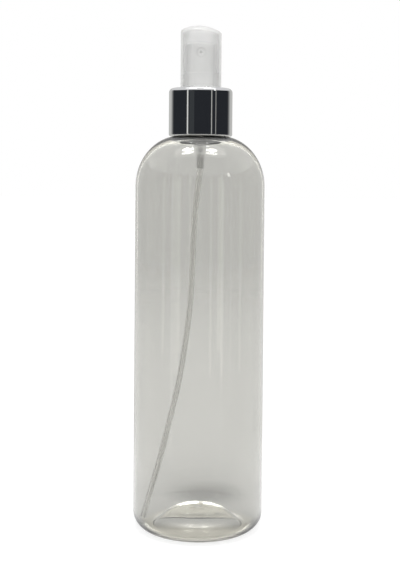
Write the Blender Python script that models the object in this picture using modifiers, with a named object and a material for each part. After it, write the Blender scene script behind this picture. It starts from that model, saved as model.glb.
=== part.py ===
"""Fine-mist spray bottle: a clear blow-moulded bottle, a screw-on mist pump and a push-on dust cap.

Units are metres, +Z is up, and the origin is the centre of the ring that the bottle stands on.
All turned pieces share the Z axis, which is also the axis of every joint.
"""
import math

import bmesh
import bpy
from mathutils import Vector

MM = 0.001

# Bottle
BODY_RADIUS = 28.5 * MM
BOTTLE_WALL = 0.7 * MM
SHOULDER_WALL = 1.7 * MM
HEEL_WALL = 1.0 * MM
CROWN_WALL = 1.6 * MM
HEEL_RADIUS = 7.5 * MM
FOOT_WIDTH = 1.2 * MM
PUSH_UP_HEIGHT = 7.3 * MM
PUSH_UP_POWER = 4
PUSH_UP_SHARES = [1.0, 0.93, 0.84, 0.72, 0.55, 0.3, 0.0]
SHOULDER_START = 150.4 * MM
SHOULDER_RISE = 22.0 * MM
SHOULDER_TUCK = 2.2 * MM
NECK_RADIUS = 10.8 * MM
NECK_WALL = 1.35 * MM
NECK_HEIGHT = 15.7 * MM

# Clearances between pieces that touch, slide or screw on the real object
SEAT_GAP = 0.3 * MM
RUN_GAP = 0.25 * MM
THREAD_DEPTH = 1.05 * MM
THREAD_CLEARANCE = 0.3 * MM
STROKE_MARGIN = 0.5 * MM

# Closure and its metal shell
CLOSURE_WALL = 1.2 * MM
DECK_THICKNESS = 1.0 * MM
SPIGOT_WALL = 0.95 * MM
SPIGOT_HEIGHT = 6.7 * MM
SPIGOT_LEAD_IN = 0.35 * MM
SHELL_WALL = 0.5 * MM
SHELL_FIT_GAP = 0.15 * MM
SHELL_EDGE_RADIUS = 1.8 * MM
SHELL_LIFT = 0.3 * MM
HEM_RADIUS = 1.6 * MM
HEM_ANGLE = math.radians(55)

# Pump stack between the bottle's land and the closure's deck
GASKET_THICKNESS = 0.8 * MM
FLANGE_THICKNESS = 1.0 * MM
FLANGE_OVERHANG = 0.6 * MM
CHAPLET_RIM = 0.7 * MM
CHAPLET_WALL = 0.9 * MM
PLUG_DEPTH = 3.0 * MM

# Pump engine
STROKE = 5.5 * MM
PISTON_BORE = 3.4 * MM
HOUSING_WALL = 1.0 * MM
CHAMBER_WALL = 0.8 * MM
VENT_RADIUS = 0.4 * MM
STEM_RADIUS = 2.0 * MM
STEM_BORE = 1.3 * MM
STEM_SHOULDER = 0.8 * MM
STEM_SHOULDER_HEIGHT = 0.8 * MM
STEM_CHAMFER = 0.3 * MM
PISTON_HEIGHT = 3.6 * MM
PISTON_LIP = 0.5 * MM
PISTON_WEB = 0.9 * MM
PISTON_WAIST = 0.2 * MM
PISTON_SLEEVE_WALL = 0.6 * MM
PISTON_SLIP = 0.6 * MM
ROD_RADIUS = 1.0 * MM
ROD_LENGTH = 7.0 * MM
ROD_CHAMFER = 0.2 * MM
CONE_HEIGHT = 1.2 * MM
POPPET_FLANGE = 0.8 * MM
GUIDE_LENGTH = 2.0 * MM

# Return spring
SPRING_RADIUS = 1.85 * MM
SPRING_WIRE = 0.5 * MM
SPRING_LENGTH = 11.2 * MM
SPRING_TURNS = 7.5
SPRING_END_TURNS = 1.0
SPRING_END_PITCH = 0.98 * MM
SPRING_POINTS_A_TURN = 10

# Inlet valve and dip tube
BALL_RADIUS = 1.1 * MM
BALL_CLEARANCE = 0.35 * MM
BALL_SEAT_GAP = 0.15 * MM
BALL_POCKET_DEPTH = 1.8 * MM
THROAT_RADIUS = 0.6 * MM
THROAT_LENGTH = 1.0 * MM
SOCKET_DEPTH = 6.5 * MM
SOCKET_WALL = 0.45 * MM
SNOUT_TAPER = 0.35 * MM
TUBE_RADIUS = 1.275 * MM
TUBE_WALL = 0.45 * MM
TUBE_FIT_GAP = 0.1 * MM
TUBE_SEAT_ANGLE = math.radians(40)
TUBE_SIDES_RESOLUTION = 2
TUBE_POINTS = 34

# The tube's lean as the photograph shows it: share of its drop, share of its sideways reach
TUBE_ROUTE = [
    (0.0, 0.0),
    (0.04, 0.03),
    (0.15, 0.098),
    (0.27, 0.127),
    (0.38, 0.16),
    (0.49, 0.238),
    (0.61, 0.361),
    (0.72, 0.52),
    (0.83, 0.693),
    (0.95, 0.91),
    (1.0, 1.0),
]

# Actuator and nozzle
ACTUATOR_RADIUS = 6.4 * MM
ACTUATOR_CLEARANCE = 0.4 * MM
ACTUATOR_HEIGHT = 15.2 * MM
ACTUATOR_WALL = 1.0 * MM
ACTUATOR_DECK = 2.0 * MM
ACTUATOR_EDGE = 0.6 * MM
FINGER_PAD_DEPTH = 0.7 * MM
SKIRT_MARGIN = 1.0 * MM
POST_WALL = 0.9 * MM
POST_RISE = 5.5 * MM
SOCKET_GRIP = 3.0 * MM
CHANNEL_RADIUS = 0.7 * MM
NOZZLE_DROP = 4.2 * MM
NOZZLE_RADIUS = 1.95 * MM
NOZZLE_LENGTH = 2.6 * MM
NOZZLE_SETBACK = 0.5 * MM
NOZZLE_FIT_GAP = 0.15 * MM
NOZZLE_BOSS_WALL = 0.8 * MM
NOZZLE_CHAMFER = 0.2 * MM
BOSS_INSET = 0.1 * MM
ORIFICE_RADIUS = 0.25 * MM
ORIFICE_LENGTH = 0.4 * MM
SPRAY_CONE_RADIUS = 0.8 * MM
SWIRL_RADIUS = 1.1 * MM
SWIRL_DEPTH = 1.5 * MM

# Overcap
CAP_FIT_GAP = 0.2 * MM
OVERCAP_WALL = 1.05 * MM
OVERCAP_TOP = 1.3 * MM
OVERCAP_HEIGHT = 27.2 * MM
OVERCAP_DOME = 18.6 * MM
OVERCAP_EDGE = 1.3 * MM
OVERCAP_SLANT = 0.08
OVERCAP_SLANT_RISE = 8.0 * MM

# Facets around each turned piece
STEPS_LARGE = 40
STEPS_MEDIUM = 32
STEPS_SMALL = 24

# Heights of the stack, from the bottle's land up
NECK_BASE_Z = SHOULDER_START + SHOULDER_RISE
LAND_Z = NECK_BASE_Z + NECK_HEIGHT
GASKET_Z = LAND_Z + SEAT_GAP
FLANGE_Z = GASKET_Z + GASKET_THICKNESS + SEAT_GAP
HOUSING_TOP_Z = FLANGE_Z + FLANGE_THICKNESS
CHAPLET_Z = HOUSING_TOP_Z + SEAT_GAP
CHAPLET_TOP_Z = CHAPLET_Z + CHAPLET_RIM
DECK_Z = CHAPLET_TOP_Z + SEAT_GAP
DECK_TOP_Z = DECK_Z + DECK_THICKNESS
SHELL_TOP_Z = DECK_TOP_Z + SEAT_GAP + SHELL_WALL
SHELL_Z = NECK_BASE_Z + SHELL_LIFT
SPIGOT_TOP_Z = SHELL_TOP_Z + SPIGOT_HEIGHT
OVERCAP_Z = SHELL_TOP_Z + SEAT_GAP

# Radii of the closure, its shell and the overcap
FLANGE_RADIUS = NECK_RADIUS + FLANGE_OVERHANG
CLOSURE_BORE = NECK_RADIUS + THREAD_DEPTH + THREAD_CLEARANCE
CLOSURE_RADIUS = CLOSURE_BORE + CLOSURE_WALL
SHELL_RADIUS = CLOSURE_RADIUS + SHELL_FIT_GAP + SHELL_WALL
SPIGOT_BORE = ACTUATOR_RADIUS + ACTUATOR_CLEARANCE
SPIGOT_RADIUS = SPIGOT_BORE + SPIGOT_WALL
OVERCAP_BORE = SPIGOT_RADIUS + CAP_FIT_GAP
OVERCAP_RADIUS = OVERCAP_BORE + OVERCAP_WALL

# Heights inside the pump, from the chaplet's plug down
PLUG_Z = HOUSING_TOP_Z - PLUG_DEPTH
STEM_Z = PLUG_Z - SEAT_GAP - STEM_SHOULDER_HEIGHT
PISTON_Z = STEM_Z - SEAT_GAP - PISTON_SLIP - PISTON_HEIGHT
POPPET_Z = PISTON_Z - SEAT_GAP - POPPET_FLANGE
SPRING_TOP_Z = POPPET_Z - SEAT_GAP
SPRING_Z = SPRING_TOP_Z - SPRING_LENGTH
LEDGE_Z = SPRING_Z - SEAT_GAP
BORE_END_Z = POPPET_Z - STROKE - STROKE_MARGIN
POCKET_Z = LEDGE_Z - BALL_POCKET_DEPTH

# Radii inside the pump
HOUSING_RADIUS = PISTON_BORE + HOUSING_WALL
CHAMBER_BORE = SPRING_RADIUS + SPRING_WIRE / 2 + SEAT_GAP
CHAMBER_RADIUS = CHAMBER_BORE + CHAMBER_WALL
BALL_POCKET_RADIUS = BALL_RADIUS + BALL_CLEARANCE
TUBE_SOCKET_RADIUS = TUBE_RADIUS + TUBE_FIT_GAP
THROAT_TOP_Z = POCKET_Z - (BALL_POCKET_RADIUS - THROAT_RADIUS)
SOCKET_TOP_Z = THROAT_TOP_Z - THROAT_LENGTH
SNOUT_Z = SOCKET_TOP_Z - SOCKET_DEPTH
SNOUT_RADIUS = TUBE_SOCKET_RADIUS + SOCKET_WALL
PISTON_RADIUS = PISTON_BORE - RUN_GAP
POPPET_RADIUS = PISTON_RADIUS - PISTON_LIP - RUN_GAP
PISTON_SLEEVE_BORE = ROD_RADIUS + RUN_GAP
GUIDE_RADIUS = SPRING_RADIUS - SPRING_WIRE / 2 - SEAT_GAP
STEM_GUIDE_RADIUS = STEM_RADIUS + RUN_GAP

# Heights of the actuator
ACTUATOR_Z = CHAPLET_TOP_Z + STROKE + SKIRT_MARGIN
ACTUATOR_TOP_Z = ACTUATOR_Z + ACTUATOR_HEIGHT
POST_Z = ACTUATOR_Z + POST_RISE
SOCKET_CEILING_Z = POST_Z + SOCKET_GRIP
STEM_TOP_Z = SOCKET_CEILING_Z - SEAT_GAP
TOWER_TOP_Z = POST_Z - STROKE - STROKE_MARGIN
NOZZLE_Z = ACTUATOR_TOP_Z - NOZZLE_DROP
POST_RADIUS = STEM_RADIUS + RUN_GAP + POST_WALL
NOZZLE_POCKET_RADIUS = NOZZLE_RADIUS + NOZZLE_FIT_GAP
NOZZLE_FRONT_Y = ACTUATOR_RADIUS - NOZZLE_SETBACK
NOZZLE_BACK_Y = NOZZLE_FRONT_Y - NOZZLE_LENGTH


def clear_scene():
    for old in list(bpy.data.objects):
        bpy.data.objects.remove(old, do_unlink=True)


def make_collection(name):
    collection = bpy.data.collections.new(name)
    bpy.context.scene.collection.children.link(collection)
    return collection


def make_material(name, colour, roughness, metallic=0.0, transmission=0.0):
    material = bpy.data.materials.new(name)
    material.use_nodes = True
    shader = material.node_tree.nodes["Principled BSDF"]
    shader.inputs["Base Color"].default_value = (*colour, 1.0)
    shader.inputs["Roughness"].default_value = roughness
    shader.inputs["Metallic"].default_value = metallic
    shader.inputs["Transmission Weight"].default_value = transmission
    material.diffuse_color = (*colour, 1.0)
    return material


def arc(centre, radii, start, end, count):
    """Points along an elliptical arc in the (radius, height) half plane, both ends included."""
    points = []
    for index in range(count + 1):
        angle = start + (end - start) * index / count
        points.append((centre[0] + radii[0] * math.cos(angle), centre[1] + radii[1] * math.sin(angle)))
    return points


def domed_end(radius, height, dome, edge):
    """Outline of a shallow dome, from the axis over a round edge to a straight side."""
    lean = math.asin((radius - edge) / (dome - edge))
    crown = arc((0.0, height - dome), (dome, dome), math.pi / 2, math.pi / 2 - lean, 5)
    crown[0] = (0.0, height)
    edge_z = height - dome + (dome - edge) * math.cos(lean)
    corner = arc((radius - edge, edge_z), (edge, edge), math.pi / 2 - lean, 0.0, 4)
    return crown + corner[1:]


def add_object(name, data, collection, material=None):
    piece = bpy.data.objects.new(name, data)
    collection.objects.link(piece)
    if material:
        data.materials.append(material)
    return piece


def turned(name, profile, datum, steps, collection, material):
    """A turned solid, with its origin on the axis at the datum height.

    The profile is a closed loop that runs down the outer side and up the inner side.
    A stretch of the loop that lies on the axis makes no face and is left out.
    """
    mesh = bpy.data.meshes.new(name)
    edges = []
    for index, point in enumerate(profile):
        following = (index + 1) % len(profile)
        if max(point[0], profile[following][0]) > 0.0:
            edges.append((index, following))
    mesh.from_pydata([(radius, 0.0, height - datum) for radius, height in profile], edges, [])
    piece = add_object(name, mesh, collection, material)
    piece.location.z = datum
    screw = piece.modifiers.new("Turn", "SCREW")
    screw.axis = "Z"
    screw.angle = 2 * math.pi
    screw.steps = steps
    screw.render_steps = steps
    screw.use_merge_vertices = True
    screw.merge_threshold = 0.00001
    screw.use_smooth_shade = True
    return piece


def made_real(piece):
    """Swap a piece's modifiers for the mesh that they make."""
    graph = bpy.context.evaluated_depsgraph_get()
    mesh = bpy.data.meshes.new_from_object(piece.evaluated_get(graph))
    piece.modifiers.clear()
    piece.data = mesh
    return piece


def round_bar(name, radius, start, end, collection):
    """A hidden round bar between two points, for cutting or joining."""
    start = Vector(start)
    end = Vector(end)
    mesh = bpy.data.meshes.new(name)
    shape = bmesh.new()
    bmesh.ops.create_cone(
        shape,
        cap_ends=True,
        segments=STEPS_SMALL,
        radius1=radius,
        radius2=radius,
        depth=(end - start).length,
    )
    shape.to_mesh(mesh)
    shape.free()
    bar = add_object(name, mesh, collection)
    bar.rotation_euler = (end - start).to_track_quat("Z", "Y").to_euler()
    bar.location = (start + end) / 2
    bar.hide_render = True
    bar.display_type = "WIRE"
    return bar


def combine(piece, other, operation):
    modifier = piece.modifiers.new(other.name, "BOOLEAN")
    modifier.operation = operation
    modifier.solver = "EXACT"
    modifier.object = other


def push_up(foot, foot_z, crown_z):
    """Outline of the domed base, from the standing ring to the axis."""
    points = []
    for share in PUSH_UP_SHARES:
        points.append((foot * share, foot_z + (crown_z - foot_z) * (1 - share ** PUSH_UP_POWER)))
    return points


def make_bottle(parts, material):
    """Blown bottle: thin at its side, thicker in the shoulder, the heel and the crown of its base."""
    crest = NECK_RADIUS - SHOULDER_TUCK
    reach = BODY_RADIUS - crest
    bore = NECK_RADIUS - NECK_WALL
    heel_centre = (BODY_RADIUS - HEEL_RADIUS, HEEL_RADIUS)
    foot = heel_centre[0] - FOOT_WIDTH

    root = math.acos((NECK_RADIUS - crest) / reach)
    shoulder = arc((crest, SHOULDER_START), (reach, SHOULDER_RISE), root, 0.0, 9)
    heel = arc(heel_centre, (HEEL_RADIUS, HEEL_RADIUS), 0.0, -math.pi / 2, 5)
    underside = push_up(foot, 0.0, PUSH_UP_HEIGHT)

    inner_heel_radii = (HEEL_RADIUS - BOTTLE_WALL, HEEL_RADIUS - HEEL_WALL)
    inner_reach = reach - BOTTLE_WALL
    inner_root = math.acos((bore - crest) / inner_reach)
    floor = push_up(foot, HEEL_WALL, PUSH_UP_HEIGHT + CROWN_WALL)[::-1]
    inner_heel = arc(heel_centre, inner_heel_radii, -math.pi / 2, 0.0, 5)
    inner_rise = SHOULDER_RISE - SHOULDER_WALL
    inner_shoulder = arc((crest, SHOULDER_START), (inner_reach, inner_rise), 0.0, inner_root, 9)

    outside = [(NECK_RADIUS, LAND_Z)] + shoulder + heel + underside
    inside = floor + inner_heel + inner_shoulder + [(bore, LAND_Z)]
    return turned("bottle", outside + inside, 0.0, STEPS_LARGE, parts, material)


def make_neck_gasket(parts, material):
    inner = HOUSING_RADIUS + RUN_GAP
    top = GASKET_Z + GASKET_THICKNESS
    profile = [(NECK_RADIUS, top), (NECK_RADIUS, GASKET_Z), (inner, GASKET_Z), (inner, top)]
    return turned("neck_gasket", profile, GASKET_Z, STEPS_LARGE, parts, material)


def make_pump_housing(parts, cutters, material):
    """Flange, piston bore, spring chamber, ball seat and the socket for the dip tube, in one piece."""
    chamber_step = HOUSING_RADIUS - CHAMBER_RADIUS
    cone_top = LEDGE_Z - CHAMBER_WALL / 2
    snout_top_radius = SNOUT_RADIUS + SNOUT_TAPER
    profile = [
        (FLANGE_RADIUS, HOUSING_TOP_Z),
        (FLANGE_RADIUS, FLANGE_Z),
        (HOUSING_RADIUS, FLANGE_Z),
        (HOUSING_RADIUS, BORE_END_Z),
        (CHAMBER_RADIUS, BORE_END_Z - chamber_step - HOUSING_WALL),
        (CHAMBER_RADIUS, cone_top),
        (snout_top_radius, cone_top - (CHAMBER_RADIUS - snout_top_radius)),
        (SNOUT_RADIUS, SNOUT_Z),
        (TUBE_SOCKET_RADIUS, SNOUT_Z),
        (TUBE_SOCKET_RADIUS, SOCKET_TOP_Z),
        (THROAT_RADIUS, SOCKET_TOP_Z),
        (THROAT_RADIUS, THROAT_TOP_Z),
        (BALL_POCKET_RADIUS, POCKET_Z),
        (BALL_POCKET_RADIUS, LEDGE_Z),
        (CHAMBER_BORE, LEDGE_Z),
        (CHAMBER_BORE, BORE_END_Z),
        (PISTON_BORE, BORE_END_Z),
        (PISTON_BORE, HOUSING_TOP_Z),
    ]
    housing = made_real(turned("pump_housing", profile, FLANGE_Z, STEPS_MEDIUM, parts, material))
    vent_z = PLUG_Z - SEAT_GAP - VENT_RADIUS
    vent_end = HOUSING_RADIUS + HOUSING_WALL
    vent = round_bar("vent_cutter", VENT_RADIUS, (ROD_RADIUS, 0, vent_z), (vent_end, 0, vent_z), cutters)
    combine(housing, vent, "DIFFERENCE")
    return housing


def make_check_ball(parts, material):
    """The ball stands a seat gap clear of the cone between its pocket and the throat."""
    apex_z = THROAT_TOP_Z - THROAT_RADIUS
    mesh = bpy.data.meshes.new("check_ball")
    shape = bmesh.new()
    bmesh.ops.create_uvsphere(shape, u_segments=16, v_segments=10, radius=BALL_RADIUS)
    shape.to_mesh(mesh)
    shape.free()
    mesh.shade_smooth()
    ball = add_object("check_ball", mesh, parts, material)
    ball.location.z = apex_z + (BALL_RADIUS + BALL_SEAT_GAP) * math.sqrt(2)
    return ball


def spring_height(turn):
    """Height of the wire's middle after a number of turns, with close end turns."""
    rise = SPRING_LENGTH - SPRING_WIRE
    end_rise = SPRING_END_TURNS * SPRING_END_PITCH
    middle_pitch = (rise - 2 * end_rise) / (SPRING_TURNS - 2 * SPRING_END_TURNS)
    if turn < SPRING_END_TURNS:
        return turn * SPRING_END_PITCH
    if turn > SPRING_TURNS - SPRING_END_TURNS:
        return rise - (SPRING_TURNS - turn) * SPRING_END_PITCH
    return end_rise + (turn - SPRING_END_TURNS) * middle_pitch


def make_return_spring(parts, material):
    points = []
    for index in range(round(SPRING_TURNS * SPRING_POINTS_A_TURN) + 1):
        turn = index / SPRING_POINTS_A_TURN
        angle = 2 * math.pi * turn
        height = SPRING_WIRE / 2 + spring_height(turn)
        points.append(Vector((SPRING_RADIUS * math.cos(angle), SPRING_RADIUS * math.sin(angle), height)))
    spring = add_object("return_spring", wire_curve("return_spring", points, SPRING_WIRE / 2, 1), parts, material)
    spring.data.use_fill_caps = True
    spring.location.z = SPRING_Z

    half_turn = SPRING_POINTS_A_TURN // 2
    least = min(
        (points[late] - points[early]).length
        for early in range(len(points))
        for late in range(early + half_turn, len(points))
    )
    print("return_spring least gap to itself: %.2f mm" % ((least - SPRING_WIRE) / MM))
    return spring


def wire_curve(name, points, radius, resolution):
    curve = bpy.data.curves.new(name, "CURVE")
    curve.dimensions = "3D"
    curve.bevel_depth = radius
    curve.bevel_resolution = resolution
    spline = curve.splines.new("POLY")
    spline.points.add(len(points) - 1)
    for spot, point in zip(spline.points, points):
        spot.co = (*point, 1.0)
    return curve


def make_poppet(parts, material):
    """Valve rod: a cone that the piston seals on, a flange for the spring and a guide inside it."""
    flange_top = POPPET_Z + POPPET_FLANGE
    cone_top = flange_top + CONE_HEIGHT
    rod_top = cone_top + ROD_LENGTH
    guide_end = POPPET_Z - GUIDE_LENGTH
    profile = [
        (0.0, rod_top),
        (ROD_RADIUS - ROD_CHAMFER, rod_top),
        (ROD_RADIUS, rod_top - ROD_CHAMFER),
        (ROD_RADIUS, cone_top),
        (POPPET_RADIUS, flange_top),
        (POPPET_RADIUS, POPPET_Z),
        (GUIDE_RADIUS, POPPET_Z),
        (GUIDE_RADIUS, guide_end + ROD_CHAMFER),
        (GUIDE_RADIUS - ROD_CHAMFER, guide_end),
        (0.0, guide_end),
    ]
    return turned("poppet", profile, POPPET_Z, STEPS_SMALL, parts, material)


def make_piston(parts, material):
    """Two thin lips around a web, on a sleeve whose foot rests on the poppet's cone."""
    top = PISTON_Z + PISTON_HEIGHT
    waist = PISTON_RADIUS - PISTON_WAIST
    lip = PISTON_RADIUS - PISTON_LIP
    sleeve = PISTON_SLEEVE_BORE + PISTON_SLEEVE_WALL
    cone_slope = CONE_HEIGHT / (POPPET_RADIUS - ROD_RADIUS)
    foot = PISTON_Z + cone_slope * (POPPET_RADIUS - PISTON_SLEEVE_BORE)
    web_z = foot + SEAT_GAP
    web_top = web_z + PISTON_WEB
    profile = [
        (PISTON_RADIUS, top),
        (waist, web_top),
        (waist, web_z),
        (PISTON_RADIUS, PISTON_Z),
        (lip, PISTON_Z),
        (lip - PISTON_WAIST, web_z),
        (sleeve, web_z),
        (sleeve, foot),
        (PISTON_SLEEVE_BORE, foot),
        (PISTON_SLEEVE_BORE, top),
        (sleeve, top),
        (sleeve, web_top),
        (lip - PISTON_WAIST, web_top),
        (lip, top),
    ]
    return turned("piston", profile, PISTON_Z, STEPS_SMALL, parts, material)


def make_stem(parts, material):
    shoulder = STEM_RADIUS + STEM_SHOULDER
    profile = [
        (STEM_RADIUS - STEM_CHAMFER, STEM_TOP_Z),
        (STEM_RADIUS, STEM_TOP_Z - STEM_CHAMFER),
        (STEM_RADIUS, STEM_Z + STEM_SHOULDER_HEIGHT),
        (shoulder, STEM_Z + STEM_SHOULDER_HEIGHT),
        (shoulder, STEM_Z),
        (STEM_BORE, STEM_Z),
        (STEM_BORE, STEM_TOP_Z),
    ]
    return turned("stem", profile, STEM_Z, STEPS_SMALL, parts, material)


def make_chaplet(parts, material):
    """Cap of the pump: a plug in the housing's bore, a rim on its flange and a tower round the stem."""
    tower = STEM_GUIDE_RADIUS + CHAPLET_WALL
    plug = PISTON_BORE - RUN_GAP
    profile = [
        (tower, TOWER_TOP_Z),
        (tower, CHAPLET_TOP_Z),
        (FLANGE_RADIUS, CHAPLET_TOP_Z),
        (FLANGE_RADIUS, CHAPLET_Z),
        (plug, CHAPLET_Z),
        (plug, PLUG_Z),
        (STEM_GUIDE_RADIUS, PLUG_Z),
        (STEM_GUIDE_RADIUS, TOWER_TOP_Z),
    ]
    return turned("chaplet", profile, CHAPLET_Z, STEPS_MEDIUM, parts, material)


def make_closure(parts, material):
    """Screw cap with a spigot that the overcap pushes on to and the actuator slides in."""
    corner = max(SHELL_EDGE_RADIUS - SHELL_WALL, SEAT_GAP)
    skirt_end = SHELL_Z + HEM_RADIUS * math.sin(HEM_ANGLE) + SEAT_GAP
    edge = arc((CLOSURE_RADIUS - corner, DECK_TOP_Z - corner), (corner, corner), math.pi / 2, 0.0, 3)
    profile = [
        (SPIGOT_RADIUS - SPIGOT_LEAD_IN, SPIGOT_TOP_Z),
        (SPIGOT_RADIUS, SPIGOT_TOP_Z - 2 * SPIGOT_LEAD_IN),
        (SPIGOT_RADIUS, DECK_TOP_Z),
    ]
    profile += edge
    profile += [
        (CLOSURE_RADIUS, skirt_end),
        (CLOSURE_BORE, skirt_end),
        (CLOSURE_BORE, DECK_Z),
        (SPIGOT_BORE, DECK_Z),
        (SPIGOT_BORE, SPIGOT_TOP_Z),
    ]
    return turned("closure", profile, DECK_Z, STEPS_LARGE, parts, material)


def make_collar_shell(parts, material):
    """Thin metal cup over the closure, round at its top edge and curled in at its hem."""
    hole = SPIGOT_RADIUS + RUN_GAP
    bend_centre = (SHELL_RADIUS - SHELL_EDGE_RADIUS, SHELL_TOP_Z - SHELL_EDGE_RADIUS)
    hem_centre = (SHELL_RADIUS - HEM_RADIUS, SHELL_Z + HEM_RADIUS * math.sin(HEM_ANGLE))
    inner_bend = SHELL_EDGE_RADIUS - SHELL_WALL
    inner_hem = HEM_RADIUS - SHELL_WALL
    profile = [(hole, SHELL_TOP_Z)]
    profile += arc(bend_centre, (SHELL_EDGE_RADIUS, SHELL_EDGE_RADIUS), math.pi / 2, 0.0, 4)
    profile += arc(hem_centre, (HEM_RADIUS, HEM_RADIUS), 0.0, -HEM_ANGLE, 3)
    profile += arc(hem_centre, (inner_hem, inner_hem), -HEM_ANGLE, 0.0, 3)
    profile += arc(bend_centre, (inner_bend, inner_bend), 0.0, math.pi / 2, 4)
    profile += [(hole, SHELL_TOP_Z - SHELL_WALL)]
    return turned("collar_shell", profile, SHELL_Z, STEPS_LARGE, parts, material)


def tube_share(drop):
    """Share of the tube's sideways reach at a share of its drop, on a smooth curve through its route."""
    last = len(TUBE_ROUTE) - 1
    span = max(index for index in range(last) if TUBE_ROUTE[index][0] <= drop)
    before = Vector(TUBE_ROUTE[max(span - 1, 0)])
    start = Vector(TUBE_ROUTE[span])
    end = Vector(TUBE_ROUTE[span + 1])
    after = Vector(TUBE_ROUTE[min(span + 2, last)])
    width = end.x - start.x
    slope_in = (end.y - before.y) / (end.x - before.x) * width
    slope_out = (after.y - start.y) / (after.x - start.x) * width
    t = (drop - start.x) / width
    rise = end.y - start.y
    return start.y + slope_in * t + (3 * rise - 2 * slope_in - slope_out) * t ** 2 + (
        slope_in + slope_out - 2 * rise
    ) * t ** 3


def make_dip_tube(parts, material):
    """A bent tube from the pump's socket to the heel of the bottle, open at both ends."""
    clear_radius = HEEL_RADIUS - max(HEEL_WALL, BOTTLE_WALL) - SEAT_GAP - TUBE_RADIUS
    reach = BODY_RADIUS - HEEL_RADIUS + clear_radius * math.sin(TUBE_SEAT_ANGLE)
    end_z = HEEL_RADIUS - clear_radius * math.cos(TUBE_SEAT_ANGLE)
    points = [(0.0, 0.0, SOCKET_TOP_Z - SEAT_GAP)]
    for index in range(TUBE_POINTS + 1):
        drop = index / TUBE_POINTS
        points.append((-reach * tube_share(drop), 0.0, SNOUT_Z + (end_z - SNOUT_Z) * drop))
    curve = wire_curve("dip_tube", points, TUBE_RADIUS, TUBE_SIDES_RESOLUTION)
    tube = add_object("tube_path", curve, parts)
    graph = bpy.context.evaluated_depsgraph_get()
    mesh = bpy.data.meshes.new_from_object(tube.evaluated_get(graph))
    bpy.data.objects.remove(tube, do_unlink=True)
    mesh.shade_smooth()
    tube = add_object("dip_tube", mesh, parts, material)
    wall = tube.modifiers.new("Wall", "SOLIDIFY")
    wall.thickness = TUBE_WALL
    wall.offset = -1.0
    return tube


def make_actuator(parts, cutters, material):
    """Push button: dished top, open skirt, stem post, and a boss with the pocket for the nozzle."""
    skirt_bore = ACTUATOR_RADIUS - ACTUATOR_WALL
    stem_socket = STEM_RADIUS + RUN_GAP
    deck_z = ACTUATOR_TOP_Z - ACTUATOR_DECK
    pad_radius = ACTUATOR_RADIUS - 2 * ACTUATOR_EDGE
    pad_sphere = (pad_radius ** 2 + FINGER_PAD_DEPTH ** 2) / (2 * FINGER_PAD_DEPTH)
    pad_angle = math.asin(pad_radius / pad_sphere)
    pad_centre = (0.0, ACTUATOR_TOP_Z - FINGER_PAD_DEPTH + pad_sphere)
    pad = arc(pad_centre, (pad_sphere, pad_sphere), -math.pi / 2, -math.pi / 2 + pad_angle, 4)
    pad[0] = (0.0, ACTUATOR_TOP_Z - FINGER_PAD_DEPTH)
    edge_centre = (ACTUATOR_RADIUS - ACTUATOR_EDGE, ACTUATOR_TOP_Z - ACTUATOR_EDGE)
    profile = pad + arc(edge_centre, (ACTUATOR_EDGE, ACTUATOR_EDGE), math.pi / 2, 0.0, 3)
    profile += [
        (ACTUATOR_RADIUS, ACTUATOR_Z),
        (skirt_bore, ACTUATOR_Z),
        (skirt_bore, deck_z),
        (POST_RADIUS, deck_z),
        (POST_RADIUS, POST_Z),
        (stem_socket, POST_Z),
        (stem_socket, SOCKET_CEILING_Z),
        (0.0, SOCKET_CEILING_Z),
    ]
    actuator = made_real(turned("actuator", profile, ACTUATOR_Z, STEPS_MEDIUM, parts, material))

    boss_radius = NOZZLE_POCKET_RADIUS + NOZZLE_BOSS_WALL
    boss_end = math.sqrt((ACTUATOR_RADIUS - BOSS_INSET) ** 2 - boss_radius ** 2)
    boss_start = stem_socket + POST_WALL / 2
    pocket_floor = NOZZLE_BACK_Y - SEAT_GAP
    boss = round_bar("nozzle_boss", boss_radius, (0, -boss_start, NOZZLE_Z), (0, -boss_end, NOZZLE_Z), cutters)
    pocket = round_bar(
        "nozzle_pocket",
        NOZZLE_POCKET_RADIUS,
        (0, -pocket_floor, NOZZLE_Z),
        (0, -ACTUATOR_RADIUS - ACTUATOR_WALL, NOZZLE_Z),
        cutters,
    )
    outlet = round_bar("spray_outlet", CHANNEL_RADIUS, (0, 0, NOZZLE_Z), (0, -NOZZLE_FRONT_Y, NOZZLE_Z), cutters)
    riser_start = (0, 0, SOCKET_CEILING_Z - SEAT_GAP)
    riser = round_bar("spray_riser", CHANNEL_RADIUS, riser_start, (0, 0, NOZZLE_Z + CHANNEL_RADIUS), cutters)
    combine(actuator, boss, "UNION")
    combine(actuator, pocket, "DIFFERENCE")
    combine(actuator, outlet, "DIFFERENCE")
    combine(actuator, riser, "DIFFERENCE")
    return actuator


def make_nozzle_insert(parts, material):
    """Swirl cup pressed into the front of the actuator, with its axis along -Y."""
    profile = [
        (NOZZLE_RADIUS - NOZZLE_CHAMFER, NOZZLE_LENGTH),
        (NOZZLE_RADIUS, NOZZLE_LENGTH - NOZZLE_CHAMFER),
        (NOZZLE_RADIUS, 0.0),
        (SWIRL_RADIUS, 0.0),
        (SWIRL_RADIUS, SWIRL_DEPTH),
        (ORIFICE_RADIUS, SWIRL_DEPTH),
        (ORIFICE_RADIUS, SWIRL_DEPTH + ORIFICE_LENGTH),
        (SPRAY_CONE_RADIUS, NOZZLE_LENGTH),
    ]
    insert = turned("nozzle_insert", profile, 0.0, STEPS_SMALL, parts, material)
    insert.rotation_euler.x = math.pi / 2
    insert.location = (0, -NOZZLE_BACK_Y, NOZZLE_Z)
    return insert


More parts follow.
